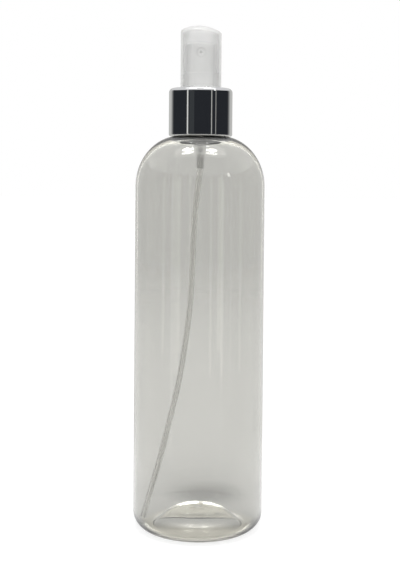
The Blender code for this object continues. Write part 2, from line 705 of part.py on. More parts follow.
def make_overcap(parts, material):
    """Push-on dust cap with a shallow dome whose top leans down towards +X."""
    outside = domed_end(OVERCAP_RADIUS, OVERCAP_HEIGHT, OVERCAP_DOME, OVERCAP_EDGE)
    inner_height = OVERCAP_HEIGHT - OVERCAP_TOP
    inside = domed_end(OVERCAP_BORE, inner_height, OVERCAP_DOME - OVERCAP_TOP, OVERCAP_EDGE)
    profile = outside + [(OVERCAP_RADIUS, 0.0), (OVERCAP_BORE, 0.0)] + inside[::-1]
    overcap = made_real(turned("overcap", profile, 0.0, STEPS_LARGE, parts, material))
    lean_start = OVERCAP_HEIGHT - OVERCAP_SLANT_RISE
    for vertex in overcap.data.vertices:
        share = max(vertex.co.z - lean_start, 0.0) / OVERCAP_SLANT_RISE
        vertex.co.z -= OVERCAP_SLANT * vertex.co.x * share
    overcap.location.z = OVERCAP_Z
    return overcap


def gather(name, pieces, parent, collection):
    """An empty on the Z axis that carries the pieces that move together."""
    carrier = bpy.data.objects.new(name, None)
    carrier.empty_display_size = BODY_RADIUS
    collection.objects.link(carrier)
    carrier.parent = parent
    for piece in pieces:
        piece.parent = carrier
    return carrier


def main():
    clear_scene()
    parts = make_collection("spray_bottle")
    cutters = make_collection("cutters")

    clear_pet = make_material("clear_pet", (0.86, 0.87, 0.86), 0.05, transmission=0.95)
    natural_pp = make_material("natural_pp", (0.92, 0.92, 0.90), 0.2, transmission=0.8)
    cap_pp = make_material("cap_pp", (0.95, 0.95, 0.94), 0.2, transmission=0.4)
    white_pp = make_material("white_pp", (0.85, 0.85, 0.84), 0.4)
    tube_pe = make_material("tube_pe", (0.87, 0.87, 0.86), 0.1, transmission=0.9)
    seal_pe = make_material("seal_pe", (0.82, 0.82, 0.80), 0.5)
    bright_aluminium = make_material("bright_aluminium", (0.88, 0.88, 0.89), 0.08, metallic=1.0)
    spring_steel = make_material("spring_steel", (0.55, 0.55, 0.57), 0.25, metallic=1.0)
    ball_steel = make_material("ball_steel", (0.62, 0.62, 0.64), 0.12, metallic=1.0)

    bottle = make_bottle(parts, clear_pet)
    neck_gasket = make_neck_gasket(parts, seal_pe)
    pump_housing = make_pump_housing(parts, cutters, natural_pp)
    check_ball = make_check_ball(parts, ball_steel)
    return_spring = make_return_spring(parts, spring_steel)
    poppet = make_poppet(parts, white_pp)
    piston = make_piston(parts, seal_pe)
    stem = make_stem(parts, white_pp)
    chaplet = make_chaplet(parts, natural_pp)
    closure = make_closure(parts, white_pp)
    collar_shell = make_collar_shell(parts, bright_aluminium)
    dip_tube = make_dip_tube(parts, tube_pe)
    actuator = make_actuator(parts, cutters, white_pp)
    nozzle_insert = make_nozzle_insert(parts, white_pp)
    overcap = make_overcap(parts, cap_pp)

    base = gather("bottle_body", [bottle], None, parts)
    pump = gather("pump_unit", [pump_housing, neck_gasket, chaplet, dip_tube, return_spring], base, parts)
    gather("inlet_valve", [check_ball], pump, parts)
    plunger = gather("plunger", [stem, poppet], pump, parts)
    gather("piston_seal", [piston], plunger, parts)
    gather("spray_head", [actuator, nozzle_insert], plunger, parts)
    screw_cap = gather("screw_cap", [closure, collar_shell], pump, parts)
    gather("dust_cap", [overcap], screw_cap, parts)


main()
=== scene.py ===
import math

import bpy
from mathutils import Matrix, Vector


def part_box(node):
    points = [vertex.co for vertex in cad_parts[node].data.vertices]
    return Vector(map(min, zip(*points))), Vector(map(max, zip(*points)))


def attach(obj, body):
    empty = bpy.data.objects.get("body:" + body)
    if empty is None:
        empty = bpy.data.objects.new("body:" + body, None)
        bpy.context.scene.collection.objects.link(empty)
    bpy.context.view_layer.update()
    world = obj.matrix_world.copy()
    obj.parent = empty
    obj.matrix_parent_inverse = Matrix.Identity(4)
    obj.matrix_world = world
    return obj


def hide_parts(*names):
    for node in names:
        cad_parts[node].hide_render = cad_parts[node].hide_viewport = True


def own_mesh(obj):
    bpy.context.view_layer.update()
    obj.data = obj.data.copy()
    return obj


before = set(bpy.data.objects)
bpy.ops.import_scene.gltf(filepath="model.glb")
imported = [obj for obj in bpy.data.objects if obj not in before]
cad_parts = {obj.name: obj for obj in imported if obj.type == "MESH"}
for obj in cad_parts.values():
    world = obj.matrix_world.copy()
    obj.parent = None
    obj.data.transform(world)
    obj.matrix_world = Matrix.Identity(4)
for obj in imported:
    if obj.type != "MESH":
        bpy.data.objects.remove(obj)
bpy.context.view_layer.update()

MM = 0.001

# Places taken from the frame: heights and radii of the CAD nodes
BOTTLE_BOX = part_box("bottle")
SHELL_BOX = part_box("collar_shell")
CLOSURE_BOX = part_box("closure")
CAP_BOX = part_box("overcap")
HOUSING_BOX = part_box("pump_housing")
GASKET_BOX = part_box("neck_gasket")
CHAPLET_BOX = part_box("chaplet")
STEM_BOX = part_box("stem")
PISTON_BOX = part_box("piston")
POPPET_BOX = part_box("poppet")
SPRING_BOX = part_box("return_spring")
BALL_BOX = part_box("check_ball")
ACTUATOR_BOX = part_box("actuator")
NOZZLE_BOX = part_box("nozzle_insert")

BODY_RADIUS = BOTTLE_BOX[1][0]
LAND_Z = BOTTLE_BOX[1][2]
SHELL_RADIUS = SHELL_BOX[1][0]
SHELL_Z = SHELL_BOX[0][2]
SHELL_TOP_Z = SHELL_BOX[1][2]
SPIGOT_TOP_Z = CLOSURE_BOX[1][2]
SKIRT_END_Z = CLOSURE_BOX[0][2]
CLOSURE_RADIUS = CLOSURE_BOX[1][0]
CAP_Z = CAP_BOX[0][2]
CAP_RADIUS = CAP_BOX[1][0]
HOUSING_TOP_Z = HOUSING_BOX[1][2]
SNOUT_Z = HOUSING_BOX[0][2]
FLANGE_RADIUS = HOUSING_BOX[1][0]
ACTUATOR_RADIUS = ACTUATOR_BOX[1][0]
ACTUATOR_Z = ACTUATOR_BOX[0][2]
ACTUATOR_TOP_Z = ACTUATOR_BOX[1][2]
NOZZLE_Z = (NOZZLE_BOX[0][2] + NOZZLE_BOX[1][2]) / 2
NOZZLE_RADIUS = (NOZZLE_BOX[1][2] - NOZZLE_BOX[0][2]) / 2

# Bottle
BOTTLE_WALL = 0.7 * MM
SHOULDER_WALL = 1.4 * MM
HEEL_WALL = 1.0 * MM
CROWN_WALL = 1.6 * MM
HEEL_RADIUS = 7.5 * MM
FOOT_WIDTH = 1.2 * MM
PUSH_UP_HEIGHT = 7.3 * MM
PUSH_UP_POWER = 3
PUSH_UP_STEPS = 40
PUSH_UP_SPACING = 1.5
SHOULDER_START = 150.4 * MM
SHOULDER_RISE = 22.5 * MM
SHOULDER_TUCK = 2.2 * MM
NECK_RADIUS = 10.8 * MM
NECK_BORE = 9.45 * MM
NECK_EDGE = 0.3 * MM
FOOT_ROUNDING = 0.8 * MM
GATE_RADIUS = 1.0 * MM
GATE_DROP = 0.25 * MM

# Neck thread: one and a half turns that the closure's own thread runs under
THREAD_PITCH = 3.175 * MM
THREAD_TURNS = 1.5
THREAD_STEPS = 108
THREAD_FADE = 0.06
THREAD_END_DEPTH = 0.02
THREAD_OVERLAP = 0.1 * MM
THREAD_CREST = 11.8 * MM
THREAD_WIDTHS = (1.6 * MM, 0.7 * MM)
CLOSURE_BORE = 12.15 * MM
CLOSURE_CREST = 11.1 * MM
CLOSURE_THREAD_WIDTHS = (1.4 * MM, 0.6 * MM)
THREAD_TOP_DROP = 2.0 * MM

# Facets: steps round a turned piece and along its curves, the angle of a sharp edge,
# and the points that keep the shading of long runs straight
STEPS_FINE = 144
STEPS_WIDE = 96
STEPS_MEDIUM = 72
STEPS_SMALL = 48
EDGE_STEPS = 4
HEEL_STEPS = 24
SHOULDER_STEPS = 48
SHARP_ANGLE = 40
FILLET_SHARE = 0.45
SUPPORT = 0.12 * MM
LONG_RUN = 12 * SUPPORT
ON_AXIS = 1e-7


def arc(centre, radii, start, end, count):
    """Points along an elliptical arc in the (radius, height) half plane, both ends included."""
    points = []
    for index in range(count + 1):
        angle = math.radians(start + (end - start) * index / count)
        points.append((centre[0] + radii[0] * math.cos(angle), centre[1] + radii[1] * math.sin(angle)))
    return points


def rounded(corners, count=EDGE_STEPS):
    """A closed outline from (radius, height, fillet) corners, each rounded by its own fillet."""
    outline = []
    for index, (radius, height, fillet) in enumerate(corners):
        here = Vector((radius, height))
        before = Vector(corners[index - 1][:2]) - here
        after = Vector(corners[(index + 1) % len(corners)][:2]) - here
        if fillet <= 0.0:
            outline.append((radius, height))
            continue
        first = here + before.normalized() * min(fillet, before.length * FILLET_SHARE)
        last = here + after.normalized() * min(fillet, after.length * FILLET_SHARE)
        for step in range(count + 1):
            t = step / count
            point = first * (1 - t) ** 2 + here * (2 * t * (1 - t)) + last * t ** 2
            outline.append((point.x, point.y))
    return outline


def add_piece(name, mesh, material, slot, body, *nodes):
    """A finished piece on its CAD body, in place of the nodes that it stands for."""
    piece = bpy.data.objects.new(name, mesh)
    bpy.context.scene.collection.objects.link(piece)
    mesh.materials.clear()
    mesh.materials.append(material)
    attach(piece, body)
    if nodes:
        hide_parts(*nodes)
    return piece


def finish_mesh(mesh, sharp=SHARP_ANGLE):
    """The mesh, shaded smooth up to its sharp edges."""
    mesh.validate()
    mesh.update()
    mesh.shade_smooth()
    mesh.set_sharp_from_angle(angle=math.radians(sharp))
    return mesh


def supported(outline):
    """The outline with a point near each end of its long runs, so that their shading stays straight."""
    result = []
    for index, point in enumerate(outline):
        here = Vector(point)
        ahead = Vector(outline[(index + 1) % len(outline)]) - here
        result.append(point)
        if ahead.length > LONG_RUN:
            step = ahead.normalized() * SUPPORT
            result += [tuple(here + step), tuple(here + ahead - step)]
    return result


def lathe(name, outline, steps=STEPS_MEDIUM, sharp=SHARP_ANGLE):
    """A turned mesh from a closed outline that runs down the outer side and up the inner side."""
    points = []
    rings = []
    for radius, height in supported(outline):
        start = len(points)
        if radius < ON_AXIS:
            points.append((0.0, 0.0, height))
            rings.append([start] * steps)
            continue
        for step in range(steps):
            angle = 2 * math.pi * step / steps
            points.append((radius * math.cos(angle), radius * math.sin(angle), height))
        rings.append(list(range(start, start + steps)))
    faces = []
    for index, ring in enumerate(rings):
        following = rings[(index + 1) % len(rings)]
        if ring[0] == ring[1] and following[0] == following[1]:
            continue
        for step in range(steps):
            turn = (step + 1) % steps
            corners = [ring[step], following[step], following[turn], ring[turn]]
            faces.append(list(dict.fromkeys(corners)))
    mesh = bpy.data.meshes.new(name)
    mesh.from_pydata(points, [], faces)
    return finish_mesh(mesh, sharp)


def sweep(name, path, sections, sharp=60):
    """A mesh along a path of (point, side, up) frames, with one closed section per frame and flat ends."""
    points = []
    count = len(sections[0])
    for (origin, side, up), section in zip(path, sections):
        for across, along in section:
            points.append(origin + side * across + up * along)
    faces = []
    for index in range(len(path) - 1):
        start = index * count
        for step in range(count):
            turn = (step + 1) % count
            faces.append([start + step, start + turn, start + count + turn, start + count + step])
    faces.append(list(range(count))[::-1])
    faces.append(list(range(len(points) - count, len(points))))
    mesh = bpy.data.meshes.new(name)
    mesh.from_pydata(points, [], faces)
    return finish_mesh(mesh, sharp)


# Finishes

NOISE_RANGE = (0.3, 0.7)
TUBE_TINT = (0.5, 0.5, 0.48)
TUBE_TINT_DENSITY = 150.0


def principled(name, colour, roughness, **inputs):
    """A material and its Principled shader, with inputs named by their labels."""
    material = bpy.data.materials.new(name)
    material.use_nodes = True
    shader = material.node_tree.nodes["Principled BSDF"]
    shader.inputs["Base Color"].default_value = (*colour, 1.0)
    shader.inputs["Roughness"].default_value = roughness
    for label, value in inputs.items():
        shader.inputs[label.replace("_", " ")].default_value = value
    return material, shader


def add_node(material, kind, **values):
    """A node with values on inputs named by their labels."""
    node = material.node_tree.nodes.new(kind)
    for label, value in values.items():
        node.inputs[label.replace("_", " ")].default_value = value
    return node


def add_noise(material, scale, detail=3.0):
    """Noise in object space, one unit of scale per metre."""
    place = material.node_tree.nodes.new("ShaderNodeTexCoord")
    noise = add_node(material, "ShaderNodeTexNoise", Scale=scale, Detail=detail)
    material.node_tree.links.new(place.outputs["Object"], noise.inputs["Vector"])
    return noise


def vary_roughness(material, shader, noise, low, high):
    first, last = NOISE_RANGE
    spread = add_node(material, "ShaderNodeMapRange", From_Min=first, From_Max=last, To_Min=low, To_Max=high)
    links = material.node_tree.links
    links.new(noise.outputs["Fac"], spread.inputs["Value"])
    links.new(spread.outputs["Result"], shader.inputs["Roughness"])


def vary_colour(material, shader, noise, dark, light):
    ramp = material.node_tree.nodes.new("ShaderNodeValToRGB")
    for element, position, colour in zip(ramp.color_ramp.elements, NOISE_RANGE, (dark, light)):
        element.position = position
        element.color = (*colour, 1.0)
    links = material.node_tree.links
    links.new(noise.outputs["Fac"], ramp.inputs["Fac"])
    links.new(ramp.outputs["Color"], shader.inputs["Base Color"])


def make_finish(name, colour, roughness, noise_scale, spread, shades=None, **inputs):
    """A finish whose roughness varies a little, and its colour too where shades are given."""
    material, shader = principled(name, colour, roughness, **inputs)
    noise = add_noise(material, noise_scale)
    vary_roughness(material, shader, noise, *spread)
    if shades:
        vary_colour(material, shader, noise, *shades)
    return material


def tint_inside(material, colour, density):
    """Takes up light along its way through the piece, so that a tube's edges are darker than its core."""
    tint = add_node(material, "ShaderNodeVolumeAbsorption", Color=(*colour, 1.0), Density=density)
    out = material.node_tree.nodes["Material Output"]
    material.node_tree.links.new(tint.outputs["Volume"], out.inputs["Volume"])


clear_pet = make_finish(
    "clear_pet",
    (0.86, 0.857, 0.832),
    0.02,
    60.0,
    (0.0, 0.03),
    IOR=1.575,
    Transmission_Weight=1.0,
)
cap_pp = make_finish(
    "cap_pp",
    (0.95, 0.95, 0.94),
    0.08,
    90.0,
    (0.06, 0.1),
    ((0.94, 0.94, 0.93), (0.97, 0.97, 0.96)),
    IOR=1.49,
    Transmission_Weight=0.42,
    Alpha=0.4,
    Coat_Weight=1.0,
    Coat_Roughness=0.03,
    Coat_IOR=2.0,
)
natural_pp = make_finish(
    "natural_pp",
    (0.92, 0.92, 0.90),
    0.15,
    220.0,
    (0.12, 0.22),
    ((0.93, 0.93, 0.91), (0.97, 0.97, 0.95)),
    IOR=1.49,
    Alpha=0.2,
)
tube_pe = make_finish(
    "tube_pe",
    (0.985, 0.985, 0.975),
    0.05,
    180.0,
    (0.02, 0.07),
    IOR=1.51,
    Transmission_Weight=0.97,
)
tint_inside(tube_pe, TUBE_TINT, TUBE_TINT_DENSITY)
white_pp = make_finish(
    "white_pp",
    (0.88, 0.88, 0.87),
    0.4,
    300.0,
    (0.36, 0.46),
    ((0.86, 0.86, 0.85), (0.9, 0.9, 0.89)),
    IOR=1.49,
)
seal_pe = make_finish(
    "seal_pe",
    (0.78, 0.78, 0.76),
    0.5,
    400.0,
    (0.45, 0.58),
    ((0.74, 0.74, 0.72), (0.80, 0.80, 0.78)),
    IOR=1.51,
)
bright_aluminium = make_finish(
    "bright_aluminium",
    (0.88, 0.885, 0.9),
    0.02,
    120.0,
    (0.02, 0.05),
    Metallic=1.0,
)
spring_steel = make_finish("spring_steel", (0.55, 0.55, 0.57), 0.2, 900.0, (0.2, 0.34), Metallic=1.0)
ball_steel = make_finish("ball_steel", (0.62, 0.62, 0.64), 0.08, 900.0, (0.08, 0.16), Metallic=1.0)


# Bottle and its neck thread


def push_up(foot, foot_z, crown_z, gate=0.0):
    """Outline of the domed base, from the standing ring to the axis, where the gate may leave a dimple."""
    rise = math.sqrt((crown_z - foot_z + FOOT_ROUNDING) ** 2 - FOOT_ROUNDING ** 2)
    points = []
    for step in range(PUSH_UP_STEPS + 1):
        radius = foot * (1.0 - (step / PUSH_UP_STEPS) ** PUSH_UP_SPACING)
        height = math.hypot(rise * (1 - (radius / foot) ** PUSH_UP_POWER), FOOT_ROUNDING) - FOOT_ROUNDING
        drop = gate if radius < GATE_RADIUS else 0.0
        points.append((radius, foot_z + height - drop))
    return points


def bottle_outline():
    """Down the outside from the neck, in under the base and up the inside."""
    crest = NECK_RADIUS - SHOULDER_TUCK
    reach = BODY_RADIUS - crest
    heel_centre = (BODY_RADIUS - HEEL_RADIUS, HEEL_RADIUS)
    foot = heel_centre[0] - FOOT_WIDTH
    root = math.degrees(math.acos((NECK_RADIUS - crest) / reach))
    neck_edge = (NECK_EDGE, NECK_EDGE)
    outside = arc((NECK_RADIUS - NECK_EDGE, LAND_Z - NECK_EDGE), neck_edge, 90, 0, EDGE_STEPS)
    outside += arc((crest, SHOULDER_START), (reach, SHOULDER_RISE), root, 0, SHOULDER_STEPS)
    outside += arc(heel_centre, (HEEL_RADIUS, HEEL_RADIUS), 0, -90, HEEL_STEPS)
    underside = push_up(foot, 0.0, PUSH_UP_HEIGHT, GATE_DROP)
    floor = push_up(foot, HEEL_WALL, PUSH_UP_HEIGHT + CROWN_WALL)[::-1]
    inner_heel = (HEEL_RADIUS - BOTTLE_WALL, HEEL_RADIUS - HEEL_WALL)
    inner_reach = reach - BOTTLE_WALL
    inner_root = math.degrees(math.acos((NECK_BORE - crest) / inner_reach))
    inside = floor + arc(heel_centre, inner_heel, -90, 0, HEEL_STEPS)
    inner_shoulder = (inner_reach, SHOULDER_RISE - SHOULDER_WALL)
    inside += arc((crest, SHOULDER_START), inner_shoulder, 0, inner_root, SHOULDER_STEPS)
    inside += arc((NECK_BORE + NECK_EDGE, LAND_Z - NECK_EDGE), neck_edge, 180, 90, EDGE_STEPS)
    return outside + underside + inside


def thread_ridge(name, root, crest, top_z, widths):
    """A right-handed ridge, with its widths at root and crest, that fades in and out at its ends."""
    half_root = widths[0] / 2
    half_crest = widths[1] / 2
    path = []
    sections = []
    for index in range(THREAD_STEPS + 1):
        share = index / THREAD_STEPS
        angle = 2 * math.pi * THREAD_TURNS * share
        rise = THREAD_PITCH * THREAD_TURNS * (share - 1.0)
        fade = max(min(share, 1.0 - share) / THREAD_FADE, THREAD_END_DEPTH)
        depth = (crest - root) * min(fade, 1.0)
        side = Vector((math.cos(angle), math.sin(angle), 0.0))
        path.append((Vector((0.0, 0.0, top_z + rise)), side, Vector((0.0, 0.0, 1.0))))
        section = [
            (root, -half_root),
            (root + depth, -half_crest),
            (root + depth, half_crest),
            (root, half_root),
        ]
        sections.append(section)
    mesh = sweep(name, path, sections, sharp=30)
    if crest < root:
        mesh.flip_normals()
    return mesh


bottle_mesh = lathe("clear_bottle", bottle_outline(), STEPS_FINE, sharp=60)
add_piece("clear_bottle", bottle_mesh, clear_pet, "clear_pet", "bottle_body", "bottle")
thread_top = LAND_Z - THREAD_TOP_DROP
thread_root = NECK_RADIUS - THREAD_OVERLAP
neck_thread = thread_ridge("neck_thread", thread_root, THREAD_CREST, thread_top, THREAD_WIDTHS)
add_piece("neck_thread", neck_thread, clear_pet, "clear_pet", "bottle_body")

# Closure, its thread and its metal shell

DECK_DROP = 0.8 * MM
DECK_WALL = 1.0 * MM
DECK_TOP_Z = SHELL_TOP_Z - DECK_DROP
DECK_Z = DECK_TOP_Z - DECK_WALL
SPIGOT_RADIUS = 7.75 * MM
SPIGOT_BORE = 6.8 * MM
closure_outline = rounded(
    [
        (SPIGOT_RADIUS, SPIGOT_TOP_Z, 0.4 * MM),
        (SPIGOT_RADIUS, DECK_TOP_Z, 0.2 * MM),
        (CLOSURE_RADIUS, DECK_TOP_Z, 1.3 * MM),
        (CLOSURE_RADIUS, SKIRT_END_Z, 0.2 * MM),
        (CLOSURE_BORE, SKIRT_END_Z, 0.3 * MM),
        (CLOSURE_BORE, DECK_Z, 0.1 * MM),
        (SPIGOT_BORE, DECK_Z, 0.1 * MM),
        (SPIGOT_BORE, SPIGOT_TOP_Z, 0.2 * MM),
    ]
)
closure_mesh = lathe("screw_closure", closure_outline, STEPS_WIDE)
add_piece("screw_closure", closure_mesh, white_pp, "white_pp", "screw_cap", "closure")
closure_thread = thread_ridge(
    "closure_thread",
    CLOSURE_BORE + THREAD_OVERLAP,
    CLOSURE_CREST,
    thread_top - THREAD_PITCH / 2,
    CLOSURE_THREAD_WIDTHS,
)
add_piece("closure_thread", closure_thread, white_pp, "white_pp", "screw_cap")

SHELL_WALL = 0.5 * MM
SHELL_EDGE = 1.8 * MM
HEM_RADIUS = 0.9 * MM
HEM_ANGLE = 55
SHELL_HOLE = 8.0 * MM
SHELL_HOLE_EDGE = 0.2 * MM
bend = (SHELL_RADIUS - SHELL_EDGE, SHELL_TOP_Z - SHELL_EDGE)
hem = (SHELL_RADIUS - HEM_RADIUS, SHELL_Z + HEM_RADIUS * math.sin(math.radians(HEM_ANGLE)))
inner_bend = SHELL_EDGE - SHELL_WALL
inner_hem = HEM_RADIUS - SHELL_WALL
hole_edge = (SHELL_HOLE + SHELL_HOLE_EDGE, SHELL_TOP_Z - SHELL_HOLE_EDGE)
shell_outline = arc(hole_edge, (SHELL_HOLE_EDGE, SHELL_HOLE_EDGE), 180, 90, EDGE_STEPS)
shell_outline += arc(bend, (SHELL_EDGE, SHELL_EDGE), 90, 0, 16)
shell_outline += arc(hem, (HEM_RADIUS, HEM_RADIUS), 0, -HEM_ANGLE, 14)
shell_outline += arc(hem, (inner_hem, inner_hem), -HEM_ANGLE, 0, 10)
shell_outline += arc(bend, (inner_bend, inner_bend), 0, 90, 10)
shell_outline += [(SHELL_HOLE, SHELL_TOP_Z - SHELL_WALL)]
add_piece(
    "bright_collar",
    lathe("bright_collar", shell_outline, STEPS_FINE),
    bright_aluminium,
    "bright_aluminium",
    "screw_cap",
    "collar_shell",
)

# Overcap: a shallow dome that leans down a little towards +X

CAP_HEIGHT = 27.2 * MM
CAP_BORE = 7.95 * MM
CAP_TOP_WALL = 1.3 * MM
CAP_DOME = 18.6 * MM
CAP_EDGE = 1.3 * MM
CAP_SLANT = 0.08
CAP_SLANT_RISE = 8.0 * MM
CAP_RIM_EDGE = 0.25 * MM
CAP_BORE_EDGE = 0.3 * MM


def domed_end(radius, height, dome, edge):
    """Outline of a shallow dome, from the axis over a round edge to a straight side."""
    lean = math.degrees(math.asin((radius - edge) / (dome - edge)))
    crown = arc((0.0, height - dome), (dome, dome), 90, 90 - lean, 20)
    crown[0] = (0.0, height)
    edge_z = height - dome + (dome - edge) * math.cos(math.radians(lean))
    return crown + arc((radius - edge, edge_z), (edge, edge), 90 - lean, 0, 10)[1:]


outer_cap = domed_end(CAP_RADIUS, CAP_HEIGHT, CAP_DOME, CAP_EDGE)
inner_cap = domed_end(CAP_BORE, CAP_HEIGHT - CAP_TOP_WALL, CAP_DOME - CAP_TOP_WALL, CAP_EDGE)
rim_edge = (CAP_RADIUS - CAP_RIM_EDGE, CAP_RIM_EDGE)
bore_edge = (CAP_BORE + CAP_BORE_EDGE, CAP_BORE_EDGE)
cap_rim = arc(rim_edge, (CAP_RIM_EDGE, CAP_RIM_EDGE), 0, -90, EDGE_STEPS)
cap_rim += arc(bore_edge, (CAP_BORE_EDGE, CAP_BORE_EDGE), -90, -180, EDGE_STEPS)
cap_mesh = lathe("dust_cap_shell", outer_cap + cap_rim + inner_cap[::-1], STEPS_FINE)
for vertex in cap_mesh.vertices:
    share = max(vertex.co.z - CAP_HEIGHT + CAP_SLANT_RISE, 0.0) / CAP_SLANT_RISE
    vertex.co.z += CAP_Z - CAP_SLANT * vertex.co.x * share
add_piece("dust_cap_shell", cap_mesh, cap_pp, "cap_pp", "dust_cap", "overcap")

# Dip tube, swept along the route that the photograph shows

TUBE_RADIUS = 1.275 * MM
TUBE_BORE = 0.6 * MM
TUBE_INSERTION = 6.2 * MM
TUBE_POINTS = 120
TUBE_SIDES = 28
TUBE_SEAT_GAP = 0.3 * MM
TUBE_SEAT_ANGLE = math.radians(40)
TUBE_SEAT = HEEL_RADIUS - HEEL_WALL - TUBE_SEAT_GAP - TUBE_RADIUS
TUBE_END = (
    HEEL_RADIUS - BODY_RADIUS - TUBE_SEAT * math.sin(TUBE_SEAT_ANGLE),
    HEEL_RADIUS - TUBE_SEAT * math.cos(TUBE_SEAT_ANGLE),
)
# Route: share of the drop from the pump's snout, share of the sideways reach
TUBE_ROUTE = [
    (0.0, 0.0),
    (0.04, 0.03),
    (0.15, 0.098),
    (0.27, 0.127),
    (0.38, 0.16),
    (0.49, 0.238),
    (0.61, 0.361),
    (0.72, 0.52),
    (0.83, 0.693),
    (0.95, 0.91),
    (1.0, 1.0),
]


def tube_share(drop):
    """Share of the tube's sideways reach at a share of its drop, on a smooth curve through its route."""
    last = len(TUBE_ROUTE) - 1
    span = max(index for index in range(last) if TUBE_ROUTE[index][0] <= drop)
    before = Vector(TUBE_ROUTE[max(span - 1, 0)])
    start = Vector(TUBE_ROUTE[span])
    end = Vector(TUBE_ROUTE[span + 1])
    after = Vector(TUBE_ROUTE[min(span + 2, last)])
    width = end.x - start.x
    slope_in = (end.y - before.y) / (end.x - before.x) * width
    slope_out = (after.y - start.y) / (after.x - start.x) * width
    t = (drop - start.x) / width
    rise = end.y - start.y
    bend_a = 3 * rise - 2 * slope_in - slope_out
    bend_b = slope_in + slope_out - 2 * rise
    return start.y + slope_in * t + bend_a * t ** 2 + bend_b * t ** 3


def dip_tube_mesh():
    """A round tube, open at both ends, in the plane y = 0."""
    centres = [Vector((0.0, 0.0, SNOUT_Z + TUBE_INSERTION))]
    for index in range(TUBE_POINTS + 1):
        drop = index / TUBE_POINTS
        height = SNOUT_Z + (TUBE_END[1] - SNOUT_Z) * drop
        centres.append(Vector((TUBE_END[0] * tube_share(drop), 0.0, height)))
    across = Vector((0.0, 1.0, 0.0))
    rings = []
    points = []
    for radius in (TUBE_RADIUS, TUBE_BORE):
        for index, centre in enumerate(centres):
            ahead = centres[min(index + 1, len(centres) - 1)] - centres[max(index - 1, 0)]
            side = across.cross(ahead).normalized()
            rings.append(range(len(points), len(points) + TUBE_SIDES))
            for step in range(TUBE_SIDES):
                angle = 2 * math.pi * step / TUBE_SIDES
                points.append(centre + (side * math.cos(angle) + across * math.sin(angle)) * radius)
    count = len(centres)
    order = list(range(count)) + list(range(2 * count - 1, count - 1, -1))
    faces = []
    for index, ring in enumerate(order):
        following = rings[order[(index + 1) % len(order)]]
        for step in range(TUBE_SIDES):
            turn = (step + 1) % TUBE_SIDES
            faces.append([rings[ring][step], rings[ring][turn], following[turn], following[step]])
    mesh = bpy.data.meshes.new("suction_tube")
    mesh.from_pydata(points, [], faces)
    return finish_mesh(mesh, sharp=50)


add_piece("suction_tube", dip_tube_mesh(), tube_pe, "tube_pe", "pump_unit", "dip_tube")

# Pump body and the pieces inside it

PISTON_BORE = 3.4 * MM
HOUSING_RADIUS = 4.4 * MM
CHAMBER_BORE = 2.4 * MM
CHAMBER_RADIUS = 3.2 * MM
CHAMBER_FOOT = 0.4 * MM
BORE_END_Z = 174.8 * MM
BORE_TAPER = 2.2 * MM
SPRING_SEAT_GAP = 0.3 * MM
LEDGE_Z = SPRING_BOX[0][2] - SPRING_SEAT_GAP
FLANGE_WALL = 1.0 * MM
FLANGE_Z = HOUSING_TOP_Z - FLANGE_WALL
SNOUT_RADIUS = 1.825 * MM
SNOUT_FLARE = 0.35 * MM
SNOUT_TOP_DROP = 1.425 * MM
TUBE_SOCKET = 1.375 * MM
SOCKET_DEPTH = 6.5 * MM
SOCKET_TOP_Z = SNOUT_Z + SOCKET_DEPTH
INLET_BORE = 0.6 * MM
INLET_LENGTH = 1.0 * MM
BALL_BORE = 1.45 * MM
BALL_SEAT_DROP = 1.8 * MM
housing_outline = rounded(
    [
        (FLANGE_RADIUS, HOUSING_TOP_Z, 0.2 * MM),
        (FLANGE_RADIUS, FLANGE_Z, 0.2 * MM),
        (HOUSING_RADIUS, FLANGE_Z, 0.1 * MM),
        (HOUSING_RADIUS, BORE_END_Z, 0.4 * MM),
        (CHAMBER_RADIUS, BORE_END_Z - BORE_TAPER, 0.4 * MM),
        (CHAMBER_RADIUS, LEDGE_Z - CHAMBER_FOOT, 0.5 * MM),
        (SNOUT_RADIUS + SNOUT_FLARE, LEDGE_Z - SNOUT_TOP_DROP, 0.4 * MM),
        (SNOUT_RADIUS, SNOUT_Z, 0.12 * MM),
        (TUBE_SOCKET, SNOUT_Z, 0.12 * MM),
        (TUBE_SOCKET, SOCKET_TOP_Z, 0.05 * MM),
        (INLET_BORE, SOCKET_TOP_Z, 0.0),
        (INLET_BORE, SOCKET_TOP_Z + INLET_LENGTH, 0.0),
        (BALL_BORE, LEDGE_Z - BALL_SEAT_DROP, 0.0),
        (BALL_BORE, LEDGE_Z, 0.0),
        (CHAMBER_BORE, LEDGE_Z, 0.0),
        (CHAMBER_BORE, BORE_END_Z, 0.0),
        (PISTON_BORE, BORE_END_Z, 0.0),
        (PISTON_BORE, HOUSING_TOP_Z, 0.1 * MM),
    ]
)
housing_mesh = lathe("pump_body", housing_outline)
add_piece("pump_body", housing_mesh, natural_pp, "natural_pp", "pump_unit", "pump_housing")

GASKET_GAP = 0.25 * MM
GASKET_EDGE = 0.15 * MM
GASKET_HOLE = HOUSING_RADIUS + GASKET_GAP
gasket_outline = rounded(
    [
        (GASKET_BOX[1][0], GASKET_BOX[1][2], GASKET_EDGE),
        (GASKET_BOX[1][0], GASKET_BOX[0][2], GASKET_EDGE),
        (GASKET_HOLE, GASKET_BOX[0][2], GASKET_EDGE),
        (GASKET_HOLE, GASKET_BOX[1][2], GASKET_EDGE),
    ]
)
add_piece("neck_seal", lathe("neck_seal", gasket_outline), seal_pe, "seal_pe", "pump_unit", "neck_gasket")

